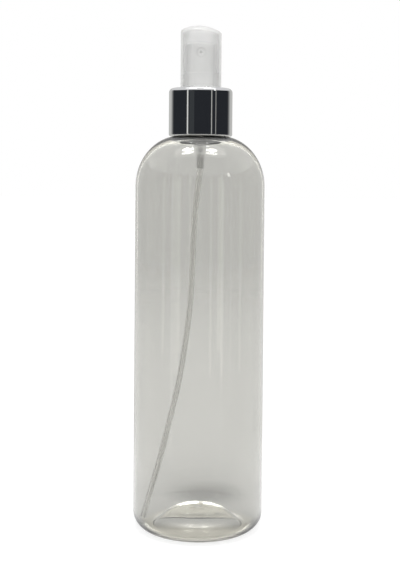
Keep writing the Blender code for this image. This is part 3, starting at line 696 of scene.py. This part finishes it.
STEM_RADIUS = 2.0 * MM
STEM_BORE = 1.3 * MM
STEM_FLANGE = 0.8 * MM
STEM_GUIDE = 2.25 * MM
TOWER_RADIUS = 3.15 * MM
PLUG_RADIUS = 3.15 * MM
CHAPLET_GAP = 0.3 * MM
CHAPLET_RIM = 0.7 * MM
CHAPLET_RIM_Z = HOUSING_TOP_Z + CHAPLET_GAP
chaplet_outline = rounded(
    [
        (TOWER_RADIUS, CHAPLET_BOX[1][2], 0.25 * MM),
        (TOWER_RADIUS, CHAPLET_RIM_Z + CHAPLET_RIM, 0.3 * MM),
        (FLANGE_RADIUS, CHAPLET_RIM_Z + CHAPLET_RIM, 0.2 * MM),
        (FLANGE_RADIUS, CHAPLET_RIM_Z, 0.2 * MM),
        (PLUG_RADIUS, CHAPLET_RIM_Z, 0.0),
        (PLUG_RADIUS, CHAPLET_BOX[0][2], 0.2 * MM),
        (STEM_GUIDE, CHAPLET_BOX[0][2], 0.1 * MM),
        (STEM_GUIDE, CHAPLET_BOX[1][2], 0.1 * MM),
    ]
)
add_piece("pump_cap", lathe("pump_cap", chaplet_outline), natural_pp, "natural_pp", "pump_unit", "chaplet")

stem_outline = rounded(
    [
        (STEM_RADIUS, STEM_BOX[1][2], 0.3 * MM),
        (STEM_RADIUS, STEM_BOX[0][2] + STEM_FLANGE, 0.1 * MM),
        (STEM_BOX[1][0], STEM_BOX[0][2] + STEM_FLANGE, 0.15 * MM),
        (STEM_BOX[1][0], STEM_BOX[0][2], 0.15 * MM),
        (STEM_BORE, STEM_BOX[0][2], 0.1 * MM),
        (STEM_BORE, STEM_BOX[1][2], 0.1 * MM),
    ]
)
stem_mesh = lathe("hollow_stem", stem_outline, STEPS_SMALL)
add_piece("hollow_stem", stem_mesh, white_pp, "white_pp", "plunger", "stem")

ROD_RADIUS = 1.0 * MM
GUIDE_RADIUS = 1.3 * MM
POPPET_RADIUS = POPPET_BOX[1][0]
POPPET_FLANGE = 0.8 * MM
POPPET_CONE_RISE = 2.0 * MM
POPPET_FLANGE_Z = SPRING_BOX[1][2] + SPRING_SEAT_GAP
poppet_outline = rounded(
    [
        (0.0, POPPET_BOX[1][2], 0.0),
        (ROD_RADIUS, POPPET_BOX[1][2], 0.2 * MM),
        (ROD_RADIUS, POPPET_FLANGE_Z + POPPET_CONE_RISE, 0.2 * MM),
        (POPPET_RADIUS, POPPET_FLANGE_Z + POPPET_FLANGE, 0.1 * MM),
        (POPPET_RADIUS, POPPET_FLANGE_Z, 0.15 * MM),
        (GUIDE_RADIUS, POPPET_FLANGE_Z, 0.1 * MM),
        (GUIDE_RADIUS, POPPET_BOX[0][2], 0.25 * MM),
        (0.0, POPPET_BOX[0][2], 0.0),
    ]
)
poppet_mesh = lathe("valve_rod", poppet_outline, STEPS_SMALL)
add_piece("valve_rod", poppet_mesh, white_pp, "white_pp", "plunger", "poppet")

PISTON_RADIUS = PISTON_BOX[1][0]
PISTON_LIP_WALL = 0.5 * MM
PISTON_LIP = PISTON_RADIUS - PISTON_LIP_WALL
PISTON_WAIST = 0.2 * MM
PISTON_SLEEVE = 1.85 * MM
PISTON_SLEEVE_BORE = 1.25 * MM
PISTON_FOOT_RISE = 1.0 * MM
PISTON_FOOT_Z = PISTON_BOX[0][2] + PISTON_FOOT_RISE
WEB_RISE = 0.3 * MM
WEB_WALL = 0.9 * MM
WEB_Z = PISTON_FOOT_Z + WEB_RISE
WEB_TOP_Z = WEB_Z + WEB_WALL
piston_outline = rounded(
    [
        (PISTON_RADIUS, PISTON_BOX[1][2], 0.1 * MM),
        (PISTON_RADIUS - PISTON_WAIST, WEB_TOP_Z, 0.2 * MM),
        (PISTON_RADIUS - PISTON_WAIST, WEB_Z, 0.2 * MM),
        (PISTON_RADIUS, PISTON_BOX[0][2], 0.1 * MM),
        (PISTON_LIP, PISTON_BOX[0][2], 0.1 * MM),
        (PISTON_LIP - PISTON_WAIST, WEB_Z, 0.15 * MM),
        (PISTON_SLEEVE, WEB_Z, 0.1 * MM),
        (PISTON_SLEEVE, PISTON_FOOT_Z, 0.1 * MM),
        (PISTON_SLEEVE_BORE, PISTON_FOOT_Z, 0.1 * MM),
        (PISTON_SLEEVE_BORE, PISTON_BOX[1][2], 0.1 * MM),
        (PISTON_SLEEVE, PISTON_BOX[1][2], 0.1 * MM),
        (PISTON_SLEEVE, WEB_TOP_Z, 0.15 * MM),
        (PISTON_LIP - PISTON_WAIST, WEB_TOP_Z, 0.15 * MM),
        (PISTON_LIP, PISTON_BOX[1][2], 0.1 * MM),
    ]
)
piston_mesh = lathe("piston_ring", piston_outline, STEPS_SMALL)
add_piece("piston_ring", piston_mesh, seal_pe, "seal_pe", "piston_seal", "piston")

BALL_STEPS = 24
ball_centre = (BALL_BOX[0][2] + BALL_BOX[1][2]) / 2
ball_radius = (BALL_BOX[1][2] - BALL_BOX[0][2]) / 2
ball_outline = arc((0.0, ball_centre), (ball_radius, ball_radius), 90, -90, BALL_STEPS)
ball_outline[0] = (0.0, ball_centre + ball_radius)
ball_outline[-1] = (0.0, ball_centre - ball_radius)
ball_mesh = lathe("valve_ball", ball_outline, STEPS_SMALL, sharp=80)
add_piece("valve_ball", ball_mesh, ball_steel, "ball_steel", "inlet_valve", "check_ball")

# Return spring, which shortens as the plunger goes down

SPRING_Z = SPRING_BOX[0][2]
SPRING_LENGTH = SPRING_BOX[1][2] - SPRING_Z
SPRING_RADIUS = 1.85 * MM
SPRING_WIRE = 0.5 * MM
SPRING_TURNS = 7.5
SPRING_END_PITCH = 0.98 * MM
SPRING_TURN_STEPS = 40
SPRING_SIDES = 12


def spring_height(turn):
    """Height of the wire's middle after a number of turns, with close end turns."""
    rise = SPRING_LENGTH - SPRING_WIRE
    middle_pitch = (rise - 2 * SPRING_END_PITCH) / (SPRING_TURNS - 2)
    if turn < 1:
        return turn * SPRING_END_PITCH
    if turn > SPRING_TURNS - 1:
        return rise - (SPRING_TURNS - turn) * SPRING_END_PITCH
    return SPRING_END_PITCH + (turn - 1) * middle_pitch


def spring_mesh():
    """Round wire along the coil."""
    up = Vector((0.0, 0.0, 1.0))
    path = []
    for index in range(round(SPRING_TURNS * SPRING_TURN_STEPS) + 1):
        turn = index / SPRING_TURN_STEPS
        side = Vector((math.cos(2 * math.pi * turn), math.sin(2 * math.pi * turn), 0.0))
        height = SPRING_Z + SPRING_WIRE / 2 + spring_height(turn)
        path.append((side * SPRING_RADIUS + up * height, side, up))
    section = []
    for step in range(SPRING_SIDES):
        angle = 2 * math.pi * step / SPRING_SIDES
        section.append((SPRING_WIRE / 2 * math.cos(angle), SPRING_WIRE / 2 * math.sin(angle)))
    return sweep("coil_spring", path, [section] * len(path))


spring = add_piece("coil_spring", spring_mesh(), spring_steel, "spring_steel", "pump_unit", "return_spring")
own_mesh(spring)

# Spray head: push button with a nozzle insert that faces -Y

BUTTON_WALL = 1.0 * MM
BUTTON_EDGE = 0.6 * MM
BUTTON_EDGE_STEPS = 8
BUTTON_DECK_WALL = 2.0 * MM
BUTTON_DECK_Z = ACTUATOR_TOP_Z - BUTTON_DECK_WALL
PAD_RADIUS = 5.2 * MM
PAD_DEPTH = 0.7 * MM
PAD_STEPS = 12
POST_RADIUS = 3.15 * MM
POST_BORE = 2.25 * MM
POST_RISE = 5.5 * MM
POST_DEPTH = 3.0 * MM
POST_Z = ACTUATOR_Z + POST_RISE
POST_CEILING_Z = POST_Z + POST_DEPTH
POCKET_GAP = 0.15 * MM
POCKET_RADIUS = NOZZLE_RADIUS + POCKET_GAP
POCKET_END_Y = -8 * MM
BOSS_WALL = 0.8 * MM
BOSS_RADIUS = POCKET_RADIUS + BOSS_WALL
BOSS_START_Y = -2.7 * MM
BOSS_INSET = 0.1 * MM
CHANNEL_RADIUS = 0.7 * MM
CHANNEL_END_Y = -5.9 * MM
CUT_OVERLAP = 0.3 * MM
NOZZLE_BACK_Y = NOZZLE_BOX[1][1]
NOZZLE_LENGTH = NOZZLE_BOX[1][1] - NOZZLE_BOX[0][1]
NOZZLE_CHAMFER = 0.2 * MM
SWIRL_RADIUS = 1.1 * MM
SWIRL_DEPTH = 1.5 * MM
ORIFICE_RADIUS = 0.25 * MM
ORIFICE_END = 1.9 * MM
NOZZLE_DISH = 0.8 * MM


def bar(name, radius, start, end):
    """A round bar between two points, for a Boolean."""
    start = Vector(start)
    end = Vector(end)
    length = (end - start).length
    mesh = lathe(name, [(0.0, length), (radius, length), (radius, 0.0), (0.0, 0.0)], STEPS_SMALL)
    turn = (end - start).to_track_quat("Z", "Y").to_matrix().to_4x4()
    mesh.transform(Matrix.Translation(start) @ turn)
    cutter = bpy.data.objects.new(name, mesh)
    bpy.context.scene.collection.objects.link(cutter)
    return cutter


def carved(mesh, steps):
    """The mesh after a row of (operation, cutter) Booleans."""
    blank = bpy.data.objects.new("blank", mesh)
    bpy.context.scene.collection.objects.link(blank)
    for operation, cutter in steps:
        modifier = blank.modifiers.new(cutter.name, "BOOLEAN")
        modifier.operation = operation
        modifier.solver = "EXACT"
        modifier.object = cutter
    graph = bpy.context.evaluated_depsgraph_get()
    result = bpy.data.meshes.new_from_object(blank.evaluated_get(graph))
    for _, cutter in steps:
        bpy.data.objects.remove(cutter, do_unlink=True)
    bpy.data.objects.remove(blank, do_unlink=True)
    return finish_mesh(result, sharp=35)


def button_mesh():
    """A dished button with an open skirt, a post for the stem and a boss with the pocket for the nozzle."""
    sphere = (PAD_RADIUS ** 2 + PAD_DEPTH ** 2) / (2 * PAD_DEPTH)
    reach = math.degrees(math.asin(PAD_RADIUS / sphere))
    pad = arc((0.0, ACTUATOR_TOP_Z - PAD_DEPTH + sphere), (sphere, sphere), -90, -90 + reach, PAD_STEPS)
    pad[0] = (0.0, ACTUATOR_TOP_Z - PAD_DEPTH)
    rim_centre = (ACTUATOR_RADIUS - BUTTON_EDGE, ACTUATOR_TOP_Z - BUTTON_EDGE)
    rim = arc(rim_centre, (BUTTON_EDGE, BUTTON_EDGE), 90, 0, BUTTON_EDGE_STEPS)
    bore = ACTUATOR_RADIUS - BUTTON_WALL
    under = [
        (ACTUATOR_RADIUS, ACTUATOR_Z),
        (bore, ACTUATOR_Z),
        (bore, BUTTON_DECK_Z),
        (POST_RADIUS, BUTTON_DECK_Z),
        (POST_RADIUS, POST_Z),
        (POST_BORE, POST_Z),
        (POST_BORE, POST_CEILING_Z),
        (0.0, POST_CEILING_Z),
    ]
    blank = lathe("spray_button", pad + rim + under, STEPS_WIDE)
    boss_end = math.sqrt((ACTUATOR_RADIUS - BOSS_INSET) ** 2 - BOSS_RADIUS ** 2)
    boss = bar("boss", BOSS_RADIUS, (0, BOSS_START_Y, NOZZLE_Z), (0, -boss_end, NOZZLE_Z))
    pocket_start = (0, NOZZLE_BACK_Y + CUT_OVERLAP, NOZZLE_Z)
    pocket = bar("pocket", POCKET_RADIUS, pocket_start, (0, POCKET_END_Y, NOZZLE_Z))
    outlet = bar("outlet", CHANNEL_RADIUS, (0, 0, NOZZLE_Z), (0, CHANNEL_END_Y, NOZZLE_Z))
    riser_start = (0, 0, POST_CEILING_Z - CUT_OVERLAP)
    riser = bar("riser", CHANNEL_RADIUS, riser_start, (0, 0, NOZZLE_Z + CHANNEL_RADIUS))
    steps = [("UNION", boss), ("DIFFERENCE", pocket), ("DIFFERENCE", outlet), ("DIFFERENCE", riser)]
    return carved(blank, steps)


add_piece("spray_button", button_mesh(), white_pp, "white_pp", "spray_head", "actuator")

nozzle_outline = [
    (NOZZLE_RADIUS - NOZZLE_CHAMFER, NOZZLE_LENGTH),
    (NOZZLE_RADIUS, NOZZLE_LENGTH - NOZZLE_CHAMFER),
    (NOZZLE_RADIUS, 0.0),
    (SWIRL_RADIUS, 0.0),
    (SWIRL_RADIUS, SWIRL_DEPTH),
    (ORIFICE_RADIUS, SWIRL_DEPTH),
    (ORIFICE_RADIUS, ORIFICE_END),
    (NOZZLE_DISH, NOZZLE_LENGTH),
]
nozzle_mesh = lathe("swirl_nozzle", nozzle_outline, STEPS_SMALL)
nozzle_place = Matrix.Translation((0, NOZZLE_BACK_Y, NOZZLE_Z))
nozzle_mesh.transform(nozzle_place @ Matrix.Rotation(math.pi / 2, 4, "X"))
add_piece("swirl_nozzle", nozzle_mesh, white_pp, "white_pp", "spray_head", "nozzle_insert")

# Studio: white surroundings that metal and glass see a little greyer, a pale floor and soft lamps.
# Only reflections see the dark card and the upright strips. The lamps overhead also show through the bottle.

WHITE = (1.0, 1.0, 1.0)
WARM = (1.0, 1.0, 0.95)
COOL = (0.9, 0.98, 1.05)
BEIGE = (1.0, 0.97, 0.87)

# Surroundings: the level that lights the object, the level that metal and glass see, and what is left of
# that towards the camera, for rays through glass, between two values of the direction's Y
AMBIENT = 0.75
SEEN_LEVEL = 0.685
SIDE_LEVEL = 0.75
SIDE_EDGES = (-0.3, 0.7)

# Floor: its paint, its glow for the camera and for metal and glass, what is left of that towards the camera,
# and the distances over which it fades out of reflections and out of the view through glass
FLOOR_HALF = 6
FLOOR_DROP = 0.0004
FLOOR_PAINT = 0.32
FLOOR_GLOW = 0.8
FLOOR_GLOW_SEEN = 0.58
FLOOR_SIDE_LEVEL = 0.05
FLOOR_FADE = (0.05, 0.22)
FAR_FADE = (0.3, 1.6)

# Floor as seen through glass: a painted beige pool of light under the base, a painted shade near the object
# and a painted shadow at a spot behind it
BASE_PAINTED_LIGHT = 0.52
BASE_PAINTED_LIGHT_SPOT = (0.0, -0.019, 0.0)
BASE_PAINTED_LIGHT_FADE = (0.014, 0.034)
BACK_SHADE = 0.88
BACK_SHADE_FADE = (0.045, 0.13)
SHADOW_SPOT = (0.004, 0.047, 0.0)
SHADOW_SPOT_FADE = (0.004, 0.026)
SHADOW_SPOT_LEVEL = 0.5

# Card: its colours towards the camera and behind the object, and the angles between which they change
CARD_COLOUR = (0.02, 0.022, 0.026)
BACK_COLOUR = (0.53, 0.53, 0.51)
BACK_EDGES = (112.0, 140.0)
CARD_DISTANCE = 1.6
CARD_HEIGHTS = (-1.2, 0.8)

# Upright strips: azimuth (0 towards the camera, 90 towards +X) and width in degrees,
# heights, distance, colour, strength
PANEL_STEP = 5
STRIPS = [
    ("strip_left", -47.8, 5.0, CARD_HEIGHTS, 1.5, WARM, 0.7),
    ("strip_right", 39.8, 3.6, CARD_HEIGHTS, 1.5, WARM, 0.42),
    ("strip_far", 56.2, 2.6, CARD_HEIGHTS, 1.5, WARM, 0.36),
    ("strip_wide", -32.0, 18.0, CARD_HEIGHTS, 1.5, COOL, 0.045),
    ("strip_high", 54.0, 6.0, (0.62, 0.8), 1.4, WARM, 5.0),
]

# Lamps overhead, as the shoulder shows them: middle, half sizes, strength
OVERHEAD_COLOUR = (1.0, 1.0, 0.98)
OVERHEAD_SIDES = 24
OVERHEAD = [
    ("overhead_left", (-0.27, -0.05, 1.15), (0.14, 0.1), 14.0),
    ("overhead_right", (0.25, -0.1, 1.15), (0.13, 0.1), 14.0),
    ("overhead_soft", (0.0, -0.05, 1.3), (0.75, 0.35), 1.6),
]

# Lights that show only where the bottle mirrors them inside:
# azimuth, width, heights, distance, colour, strength
INNER_LIGHTS = [
    ("inner_low_left", 182.1, 4.8, (-1.0, 0.46), 1.65, WARM, 4.0),
    ("inner_low_right", 176.6, 4.0, (-1.0, 0.46), 1.65, WARM, 4.0),
    ("inner_low_wide", 180.0, 15.0, (-1.0, 0.44), 1.75, WARM, 1.5),
    ("inner_high", 180.0, 40.0, (0.45, 1.7), 1.7, BEIGE, 1.2),
    ("inner_left", -40.0, 9.0, (0.0, 0.3), 0.4, WARM, 1.4),
    ("inner_middle", 19.3, 4.0, (0.0, 0.3), 0.4, WARM, 1.3),
    ("inner_right", 40.0, 5.0, (0.0, 0.3), 0.4, WARM, 1.3),
    ("inner_far", 75.0, 5.0, (0.0, 0.3), 0.4, WARM, 1.2),
]

# Soft lamps, which reflections and glass don't see: power, size, place
LAMP_AIM = (0, 0, 0.1)
LAMPS = [
    ("high_light", 6.9, 0.45, (0.0, -0.55, 1.25)),
    ("front_light", 6.7, 1.2, (0.0, -1.4, 0.5)),
]


def maths(tree, operation, *values):
    """A Math node on links or plain numbers; its result."""
    node = tree.nodes.new("ShaderNodeMath")
    node.operation = operation
    for socket, value in zip(node.inputs, values):
        if isinstance(value, (int, float)):
            socket.default_value = value
        else:
            tree.links.new(value, socket)
    return node.outputs["Value"]


def smooth_step(tree, value, edges, low, high):
    """A smooth change from low to high as a value passes from one edge to the other."""
    node = tree.nodes.new("ShaderNodeMapRange")
    node.interpolation_type = "SMOOTHSTEP"
    node.inputs["From Min"].default_value = edges[0]
    node.inputs["From Max"].default_value = edges[1]
    node.inputs["To Min"].default_value = low
    node.inputs["To Max"].default_value = high
    tree.links.new(value, node.inputs["Value"])
    return node.outputs["Result"]


def distance_from(tree, place, spot):
    """How far a place is from a spot."""
    node = tree.nodes.new("ShaderNodeVectorMath")
    node.operation = "DISTANCE"
    tree.links.new(place, node.inputs[0])
    node.inputs[1].default_value = spot
    return node.outputs["Value"]


def added(tree, first, second):
    """The sum of two shaders."""
    node = tree.nodes.new("ShaderNodeAddShader")
    tree.links.new(first, node.inputs[0])
    tree.links.new(second, node.inputs[1])
    return node.outputs["Shader"]


def mixed(tree, share, first, second):
    """The first shader, with a share of it given over to the second."""
    node = tree.nodes.new("ShaderNodeMixShader")
    tree.links.new(share, node.inputs["Fac"])
    tree.links.new(first, node.inputs[1])
    tree.links.new(second, node.inputs[2])
    return node.outputs["Shader"]


def emission(name, colour, strength):
    """A glowing material and its Emission node."""
    material = bpy.data.materials.new(name)
    material.use_nodes = True
    nodes = material.node_tree.nodes
    nodes.clear()
    glow = nodes.new("ShaderNodeEmission")
    glow.inputs["Color"].default_value = (*colour, 1.0)
    glow.inputs["Strength"].default_value = strength
    out = nodes.new("ShaderNodeOutputMaterial")
    material.node_tree.links.new(glow.outputs["Emission"], out.inputs["Surface"])
    return material, glow


def inner_light(name, colour, strength):
    """A glow that shows only where the bottle mirrors it, and is clear to what looks straight through."""
    material, glow = emission(name, colour, strength)
    tree = material.node_tree
    path = tree.nodes.new("ShaderNodeLightPath")
    clear = tree.nodes.new("ShaderNodeBsdfTransparent")
    mirrored = maths(tree, "MINIMUM", path.outputs["Glossy Depth"], 1.0)
    mirrored = maths(tree, "MULTIPLY", mirrored, path.outputs["Is Transmission Ray"])
    surface = mixed(tree, mirrored, clear.outputs["BSDF"], glow.outputs["Emission"])
    tree.links.new(surface, tree.nodes["Material Output"].inputs["Surface"])
    return material


def ray_level(tree, camera_level, seen_level, other_level):
    """A strength for camera rays, for what metal and glass see, and for every other ray."""
    path = tree.nodes.new("ShaderNodeLightPath")
    seen = maths(tree, "MAXIMUM", path.outputs["Is Glossy Ray"], path.outputs["Is Transmission Ray"])
    level = maths(tree, "MULTIPLY_ADD", seen, seen_level - other_level, other_level)
    return maths(tree, "MULTIPLY_ADD", path.outputs["Is Camera Ray"], camera_level - other_level, level)


def dimmed(tree, level, direction, side_level):
    """The level as it is seen through glass: less towards the camera, where the room is darker."""
    split = tree.nodes.new("ShaderNodeSeparateXYZ")
    tree.links.new(direction, split.inputs["Vector"])
    loss = smooth_step(tree, split.outputs["Y"], SIDE_EDGES, 1.0 - side_level, 0.0)
    path = tree.nodes.new("ShaderNodeLightPath")
    loss = maths(tree, "MULTIPLY", loss, path.outputs["Is Transmission Ray"])
    return maths(tree, "MULTIPLY", level, maths(tree, "SUBTRACT", 1.0, loss))


def make_world():
    """White surroundings, with their own levels for the camera, for metal and glass, and for lighting."""
    world = bpy.data.worlds.new("studio")
    world.use_nodes = True
    tree = world.node_tree
    tree.nodes.clear()
    background = tree.nodes.new("ShaderNodeBackground")
    background.inputs["Color"].default_value = (1.0, 1.0, 1.0, 1.0)
    out = tree.nodes.new("ShaderNodeOutputWorld")
    place = tree.nodes.new("ShaderNodeTexCoord")
    level = ray_level(tree, 1.0, SEEN_LEVEL, AMBIENT)
    level = dimmed(tree, level, place.outputs["Generated"], SIDE_LEVEL)
    tree.links.new(level, background.inputs["Strength"])
    tree.links.new(background.outputs["Background"], out.inputs["Surface"])
    bpy.context.scene.world = world


def floor_level(tree, place, reach, through):
    """The floor's glow, which glass sees dimmer towards the camera, near the object and at a spot behind."""
    direction = tree.nodes.new("ShaderNodeVectorMath")
    direction.operation = "NORMALIZE"
    tree.links.new(place, direction.inputs[0])
    level = ray_level(tree, FLOOR_GLOW, FLOOR_GLOW_SEEN, 0.0)
    level = dimmed(tree, level, direction.outputs["Vector"], FLOOR_SIDE_LEVEL)
    # Painted shade near the object and a painted shadow at a spot behind it, seen only through glass
    shade = smooth_step(tree, reach, BACK_SHADE_FADE, BACK_SHADE, 1.0)
    spot = distance_from(tree, place, SHADOW_SPOT)
    spot_shade = smooth_step(tree, spot, SHADOW_SPOT_FADE, SHADOW_SPOT_LEVEL, 1.0)
    loss = maths(tree, "SUBTRACT", 1.0, maths(tree, "MULTIPLY", shade, spot_shade))
    loss = maths(tree, "MULTIPLY", loss, through)
    return maths(tree, "MULTIPLY", level, maths(tree, "SUBTRACT", 1.0, loss))


def floor_gone(tree, reach, glossy, through):
    """How far the floor is left out: away from the object in reflections, and far off through glass."""
    fade = smooth_step(tree, reach, FLOOR_FADE, 0.0, 1.0)
    mirrored = maths(tree, "MULTIPLY", glossy, maths(tree, "SUBTRACT", 1.0, through))
    far = smooth_step(tree, reach, FAR_FADE, 0.0, 1.0)
    gone = maths(tree, "MULTIPLY", mirrored, fade)
    return maths(tree, "MAXIMUM", gone, maths(tree, "MULTIPLY", far, through))


def floor_material():
    """Pale paint with a glow, and a painted beige pool of light under the base for what is seen through
    glass.
    """
    material = bpy.data.materials.new("floor")
    material.use_nodes = True
    tree = material.node_tree
    tree.nodes.clear()
    place = tree.nodes.new("ShaderNodeTexCoord").outputs["Object"]
    path = tree.nodes.new("ShaderNodeLightPath")
    through = path.outputs["Is Transmission Ray"]
    reach = distance_from(tree, place, (0.0, 0.0, 0.0))
    paint = tree.nodes.new("ShaderNodeBsdfDiffuse")
    paint.inputs["Color"].default_value = (FLOOR_PAINT, FLOOR_PAINT, FLOOR_PAINT, 1.0)
    # Painted pool of light on the floor under the base, seen only through glass
    under = smooth_step(tree, distance_from(tree, place, BASE_PAINTED_LIGHT_SPOT), BASE_PAINTED_LIGHT_FADE, BASE_PAINTED_LIGHT, 0.0)
    under = maths(tree, "MULTIPLY", under, through)
    lit = paint.outputs["BSDF"]
    for colour, strength in ((WHITE, floor_level(tree, place, reach, through)), (BEIGE, under)):
        glow = tree.nodes.new("ShaderNodeEmission")
        glow.inputs["Color"].default_value = (*colour, 1.0)
        tree.links.new(strength, glow.inputs["Strength"])
        lit = added(tree, lit, glow.outputs["Emission"])
    clear = tree.nodes.new("ShaderNodeBsdfTransparent")
    gone = floor_gone(tree, reach, path.outputs["Is Glossy Ray"], through)
    out = tree.nodes.new("ShaderNodeOutputMaterial")
    tree.links.new(mixed(tree, gone, lit, clear.outputs["BSDF"]), out.inputs["Surface"])
    return material


def make_floor():
    """A pale floor that keeps the object's shadow."""
    corners = [(-FLOOR_HALF, -FLOOR_HALF, 0), (FLOOR_HALF, -FLOOR_HALF, 0)]
    corners += [(FLOOR_HALF, FLOOR_HALF, 0), (-FLOOR_HALF, FLOOR_HALF, 0)]
    mesh = bpy.data.meshes.new("floor")
    mesh.from_pydata(corners, [], [(0, 1, 2, 3)])
    mesh.materials.append(floor_material())
    floor = bpy.data.objects.new("floor", mesh)
    floor.location.z = -FLOOR_DROP
    bpy.context.scene.collection.objects.link(floor)


def reflected_only(name, points, faces, material, through_glass=False):
    """A stage panel that only reflections see, or also what is seen through the bottle."""
    mesh = bpy.data.meshes.new(name)
    mesh.from_pydata(points, [], faces)
    mesh.materials.append(material)
    piece = bpy.data.objects.new(name, mesh)
    bpy.context.scene.collection.objects.link(piece)
    piece.visible_camera = False
    piece.visible_diffuse = False
    piece.visible_transmission = through_glass
    piece.visible_shadow = False


def upright(name, azimuth, width, heights, distance, material, through_glass=False):
    """An upright curved panel round the object."""
    count = max(2, round(width / PANEL_STEP) + 1)
    points = []
    for height in heights:
        for index in range(count):
            angle = math.radians(azimuth - width / 2 + width * index / (count - 1))
            points.append((distance * math.sin(angle), -distance * math.cos(angle), height))
    faces = [[index, index + 1, count + index + 1, count + index] for index in range(count - 1)]
    reflected_only(name, points, faces, material, through_glass)


def overhead(name, middle, half_sizes, material):
    """A level oval panel above the object."""
    points = []
    for step in range(OVERHEAD_SIDES):
        angle = 2 * math.pi * step / OVERHEAD_SIDES
        along = half_sizes[0] * math.cos(angle)
        across = half_sizes[1] * math.sin(angle)
        points.append((middle[0] + along, middle[1] + across, middle[2]))
    reflected_only(name, points, [list(range(OVERHEAD_SIDES))], material, True)


def make_card():
    """A card all round that is dark towards the camera and turns grey behind the object."""
    material, glow = emission("card", CARD_COLOUR, 1.0)
    tree = material.node_tree
    place = tree.nodes.new("ShaderNodeTexCoord")
    split = tree.nodes.new("ShaderNodeSeparateXYZ")
    tree.links.new(place.outputs["Object"], split.inputs["Vector"])
    towards_camera = maths(tree, "MULTIPLY", split.outputs["Y"], -1.0)
    angle = maths(tree, "ARCTAN2", split.outputs["X"], towards_camera)
    edges = [math.radians(edge) for edge in BACK_EDGES]
    turn = smooth_step(tree, maths(tree, "ABSOLUTE", angle), edges, 0.0, 1.0)
    ramp = tree.nodes.new("ShaderNodeValToRGB")
    ramp.color_ramp.elements[0].color = (*CARD_COLOUR, 1.0)
    ramp.color_ramp.elements[1].color = (*BACK_COLOUR, 1.0)
    tree.links.new(turn, ramp.inputs["Fac"])
    tree.links.new(ramp.outputs["Color"], glow.inputs["Color"])
    upright("card", 0, 360, CARD_HEIGHTS, CARD_DISTANCE, material)


def lamp(name, power, size, place):
    """A soft round lamp, aimed at the object."""
    light = bpy.data.lights.new(name, "AREA")
    light.energy = power
    light.shape = "DISK"
    light.size = size
    holder = bpy.data.objects.new(name, light)
    bpy.context.scene.collection.objects.link(holder)
    holder.location = place
    holder.rotation_euler = (Vector(LAMP_AIM) - Vector(place)).to_track_quat("-Z", "Y").to_euler()
    holder.visible_glossy = False
    holder.visible_transmission = False


make_world()
make_floor()
make_card()
for panel_name, *panel, colour, strength in STRIPS:
    upright(panel_name, *panel, emission(panel_name, colour, strength)[0])
for panel_name, centre, half_sizes, strength in OVERHEAD:
    overhead(panel_name, centre, half_sizes, emission(panel_name, OVERHEAD_COLOUR, strength)[0])
for panel_name, *panel, colour, strength in INNER_LIGHTS:
    upright(panel_name, *panel, inner_light(panel_name, colour, strength), True)
for lamp_name, power, size, place in LAMPS:
    lamp(lamp_name, power, size, place)

# Camera, from the photograph: level with the top of the body, with the frame shifted down

IMAGE_HEIGHT = 570
FOCAL_PIXELS = 1050
SHIFT_PIXELS = 93.3
SENSOR_WIDTH = 36.0
CLIP_START = 0.01
CAMERA_DISTANCE = 0.464
CAMERA_HEIGHT = 0.1566
CAMERA_PITCH = math.radians(1.04)
CAMERA_ROLL = math.radians(0.47)

camera_data = bpy.data.cameras.new("camera")
camera_data.sensor_width = SENSOR_WIDTH
camera_data.sensor_fit = "AUTO"
camera_data.lens = SENSOR_WIDTH * FOCAL_PIXELS / IMAGE_HEIGHT
camera_data.shift_y = -SHIFT_PIXELS / IMAGE_HEIGHT
camera_data.clip_start = CLIP_START
camera = bpy.data.objects.new("camera", camera_data)
bpy.context.scene.collection.objects.link(camera)
facing = Matrix.Rotation(math.pi / 2 - CAMERA_PITCH, 4, "X") @ Matrix.Rotation(CAMERA_ROLL, 4, "Z")
camera.matrix_world = Matrix.Translation((0, -CAMERA_DISTANCE, CAMERA_HEIGHT)) @ facing
bpy.context.scene.camera = camera
bpy.context.scene.view_settings.view_transform = "Standard"

# Enough bounces for light to leave the bottle's walls, which otherwise show black bands
MOST_BOUNCES = 24
GLOSSY_BOUNCES = 10
bpy.context.scene.cycles.max_bounces = MOST_BOUNCES
bpy.context.scene.cycles.glossy_bounces = GLOSSY_BOUNCES
bpy.context.scene.cycles.transmission_bounces = MOST_BOUNCES
bpy.context.scene.cycles.transparent_max_bounces = MOST_BOUNCES
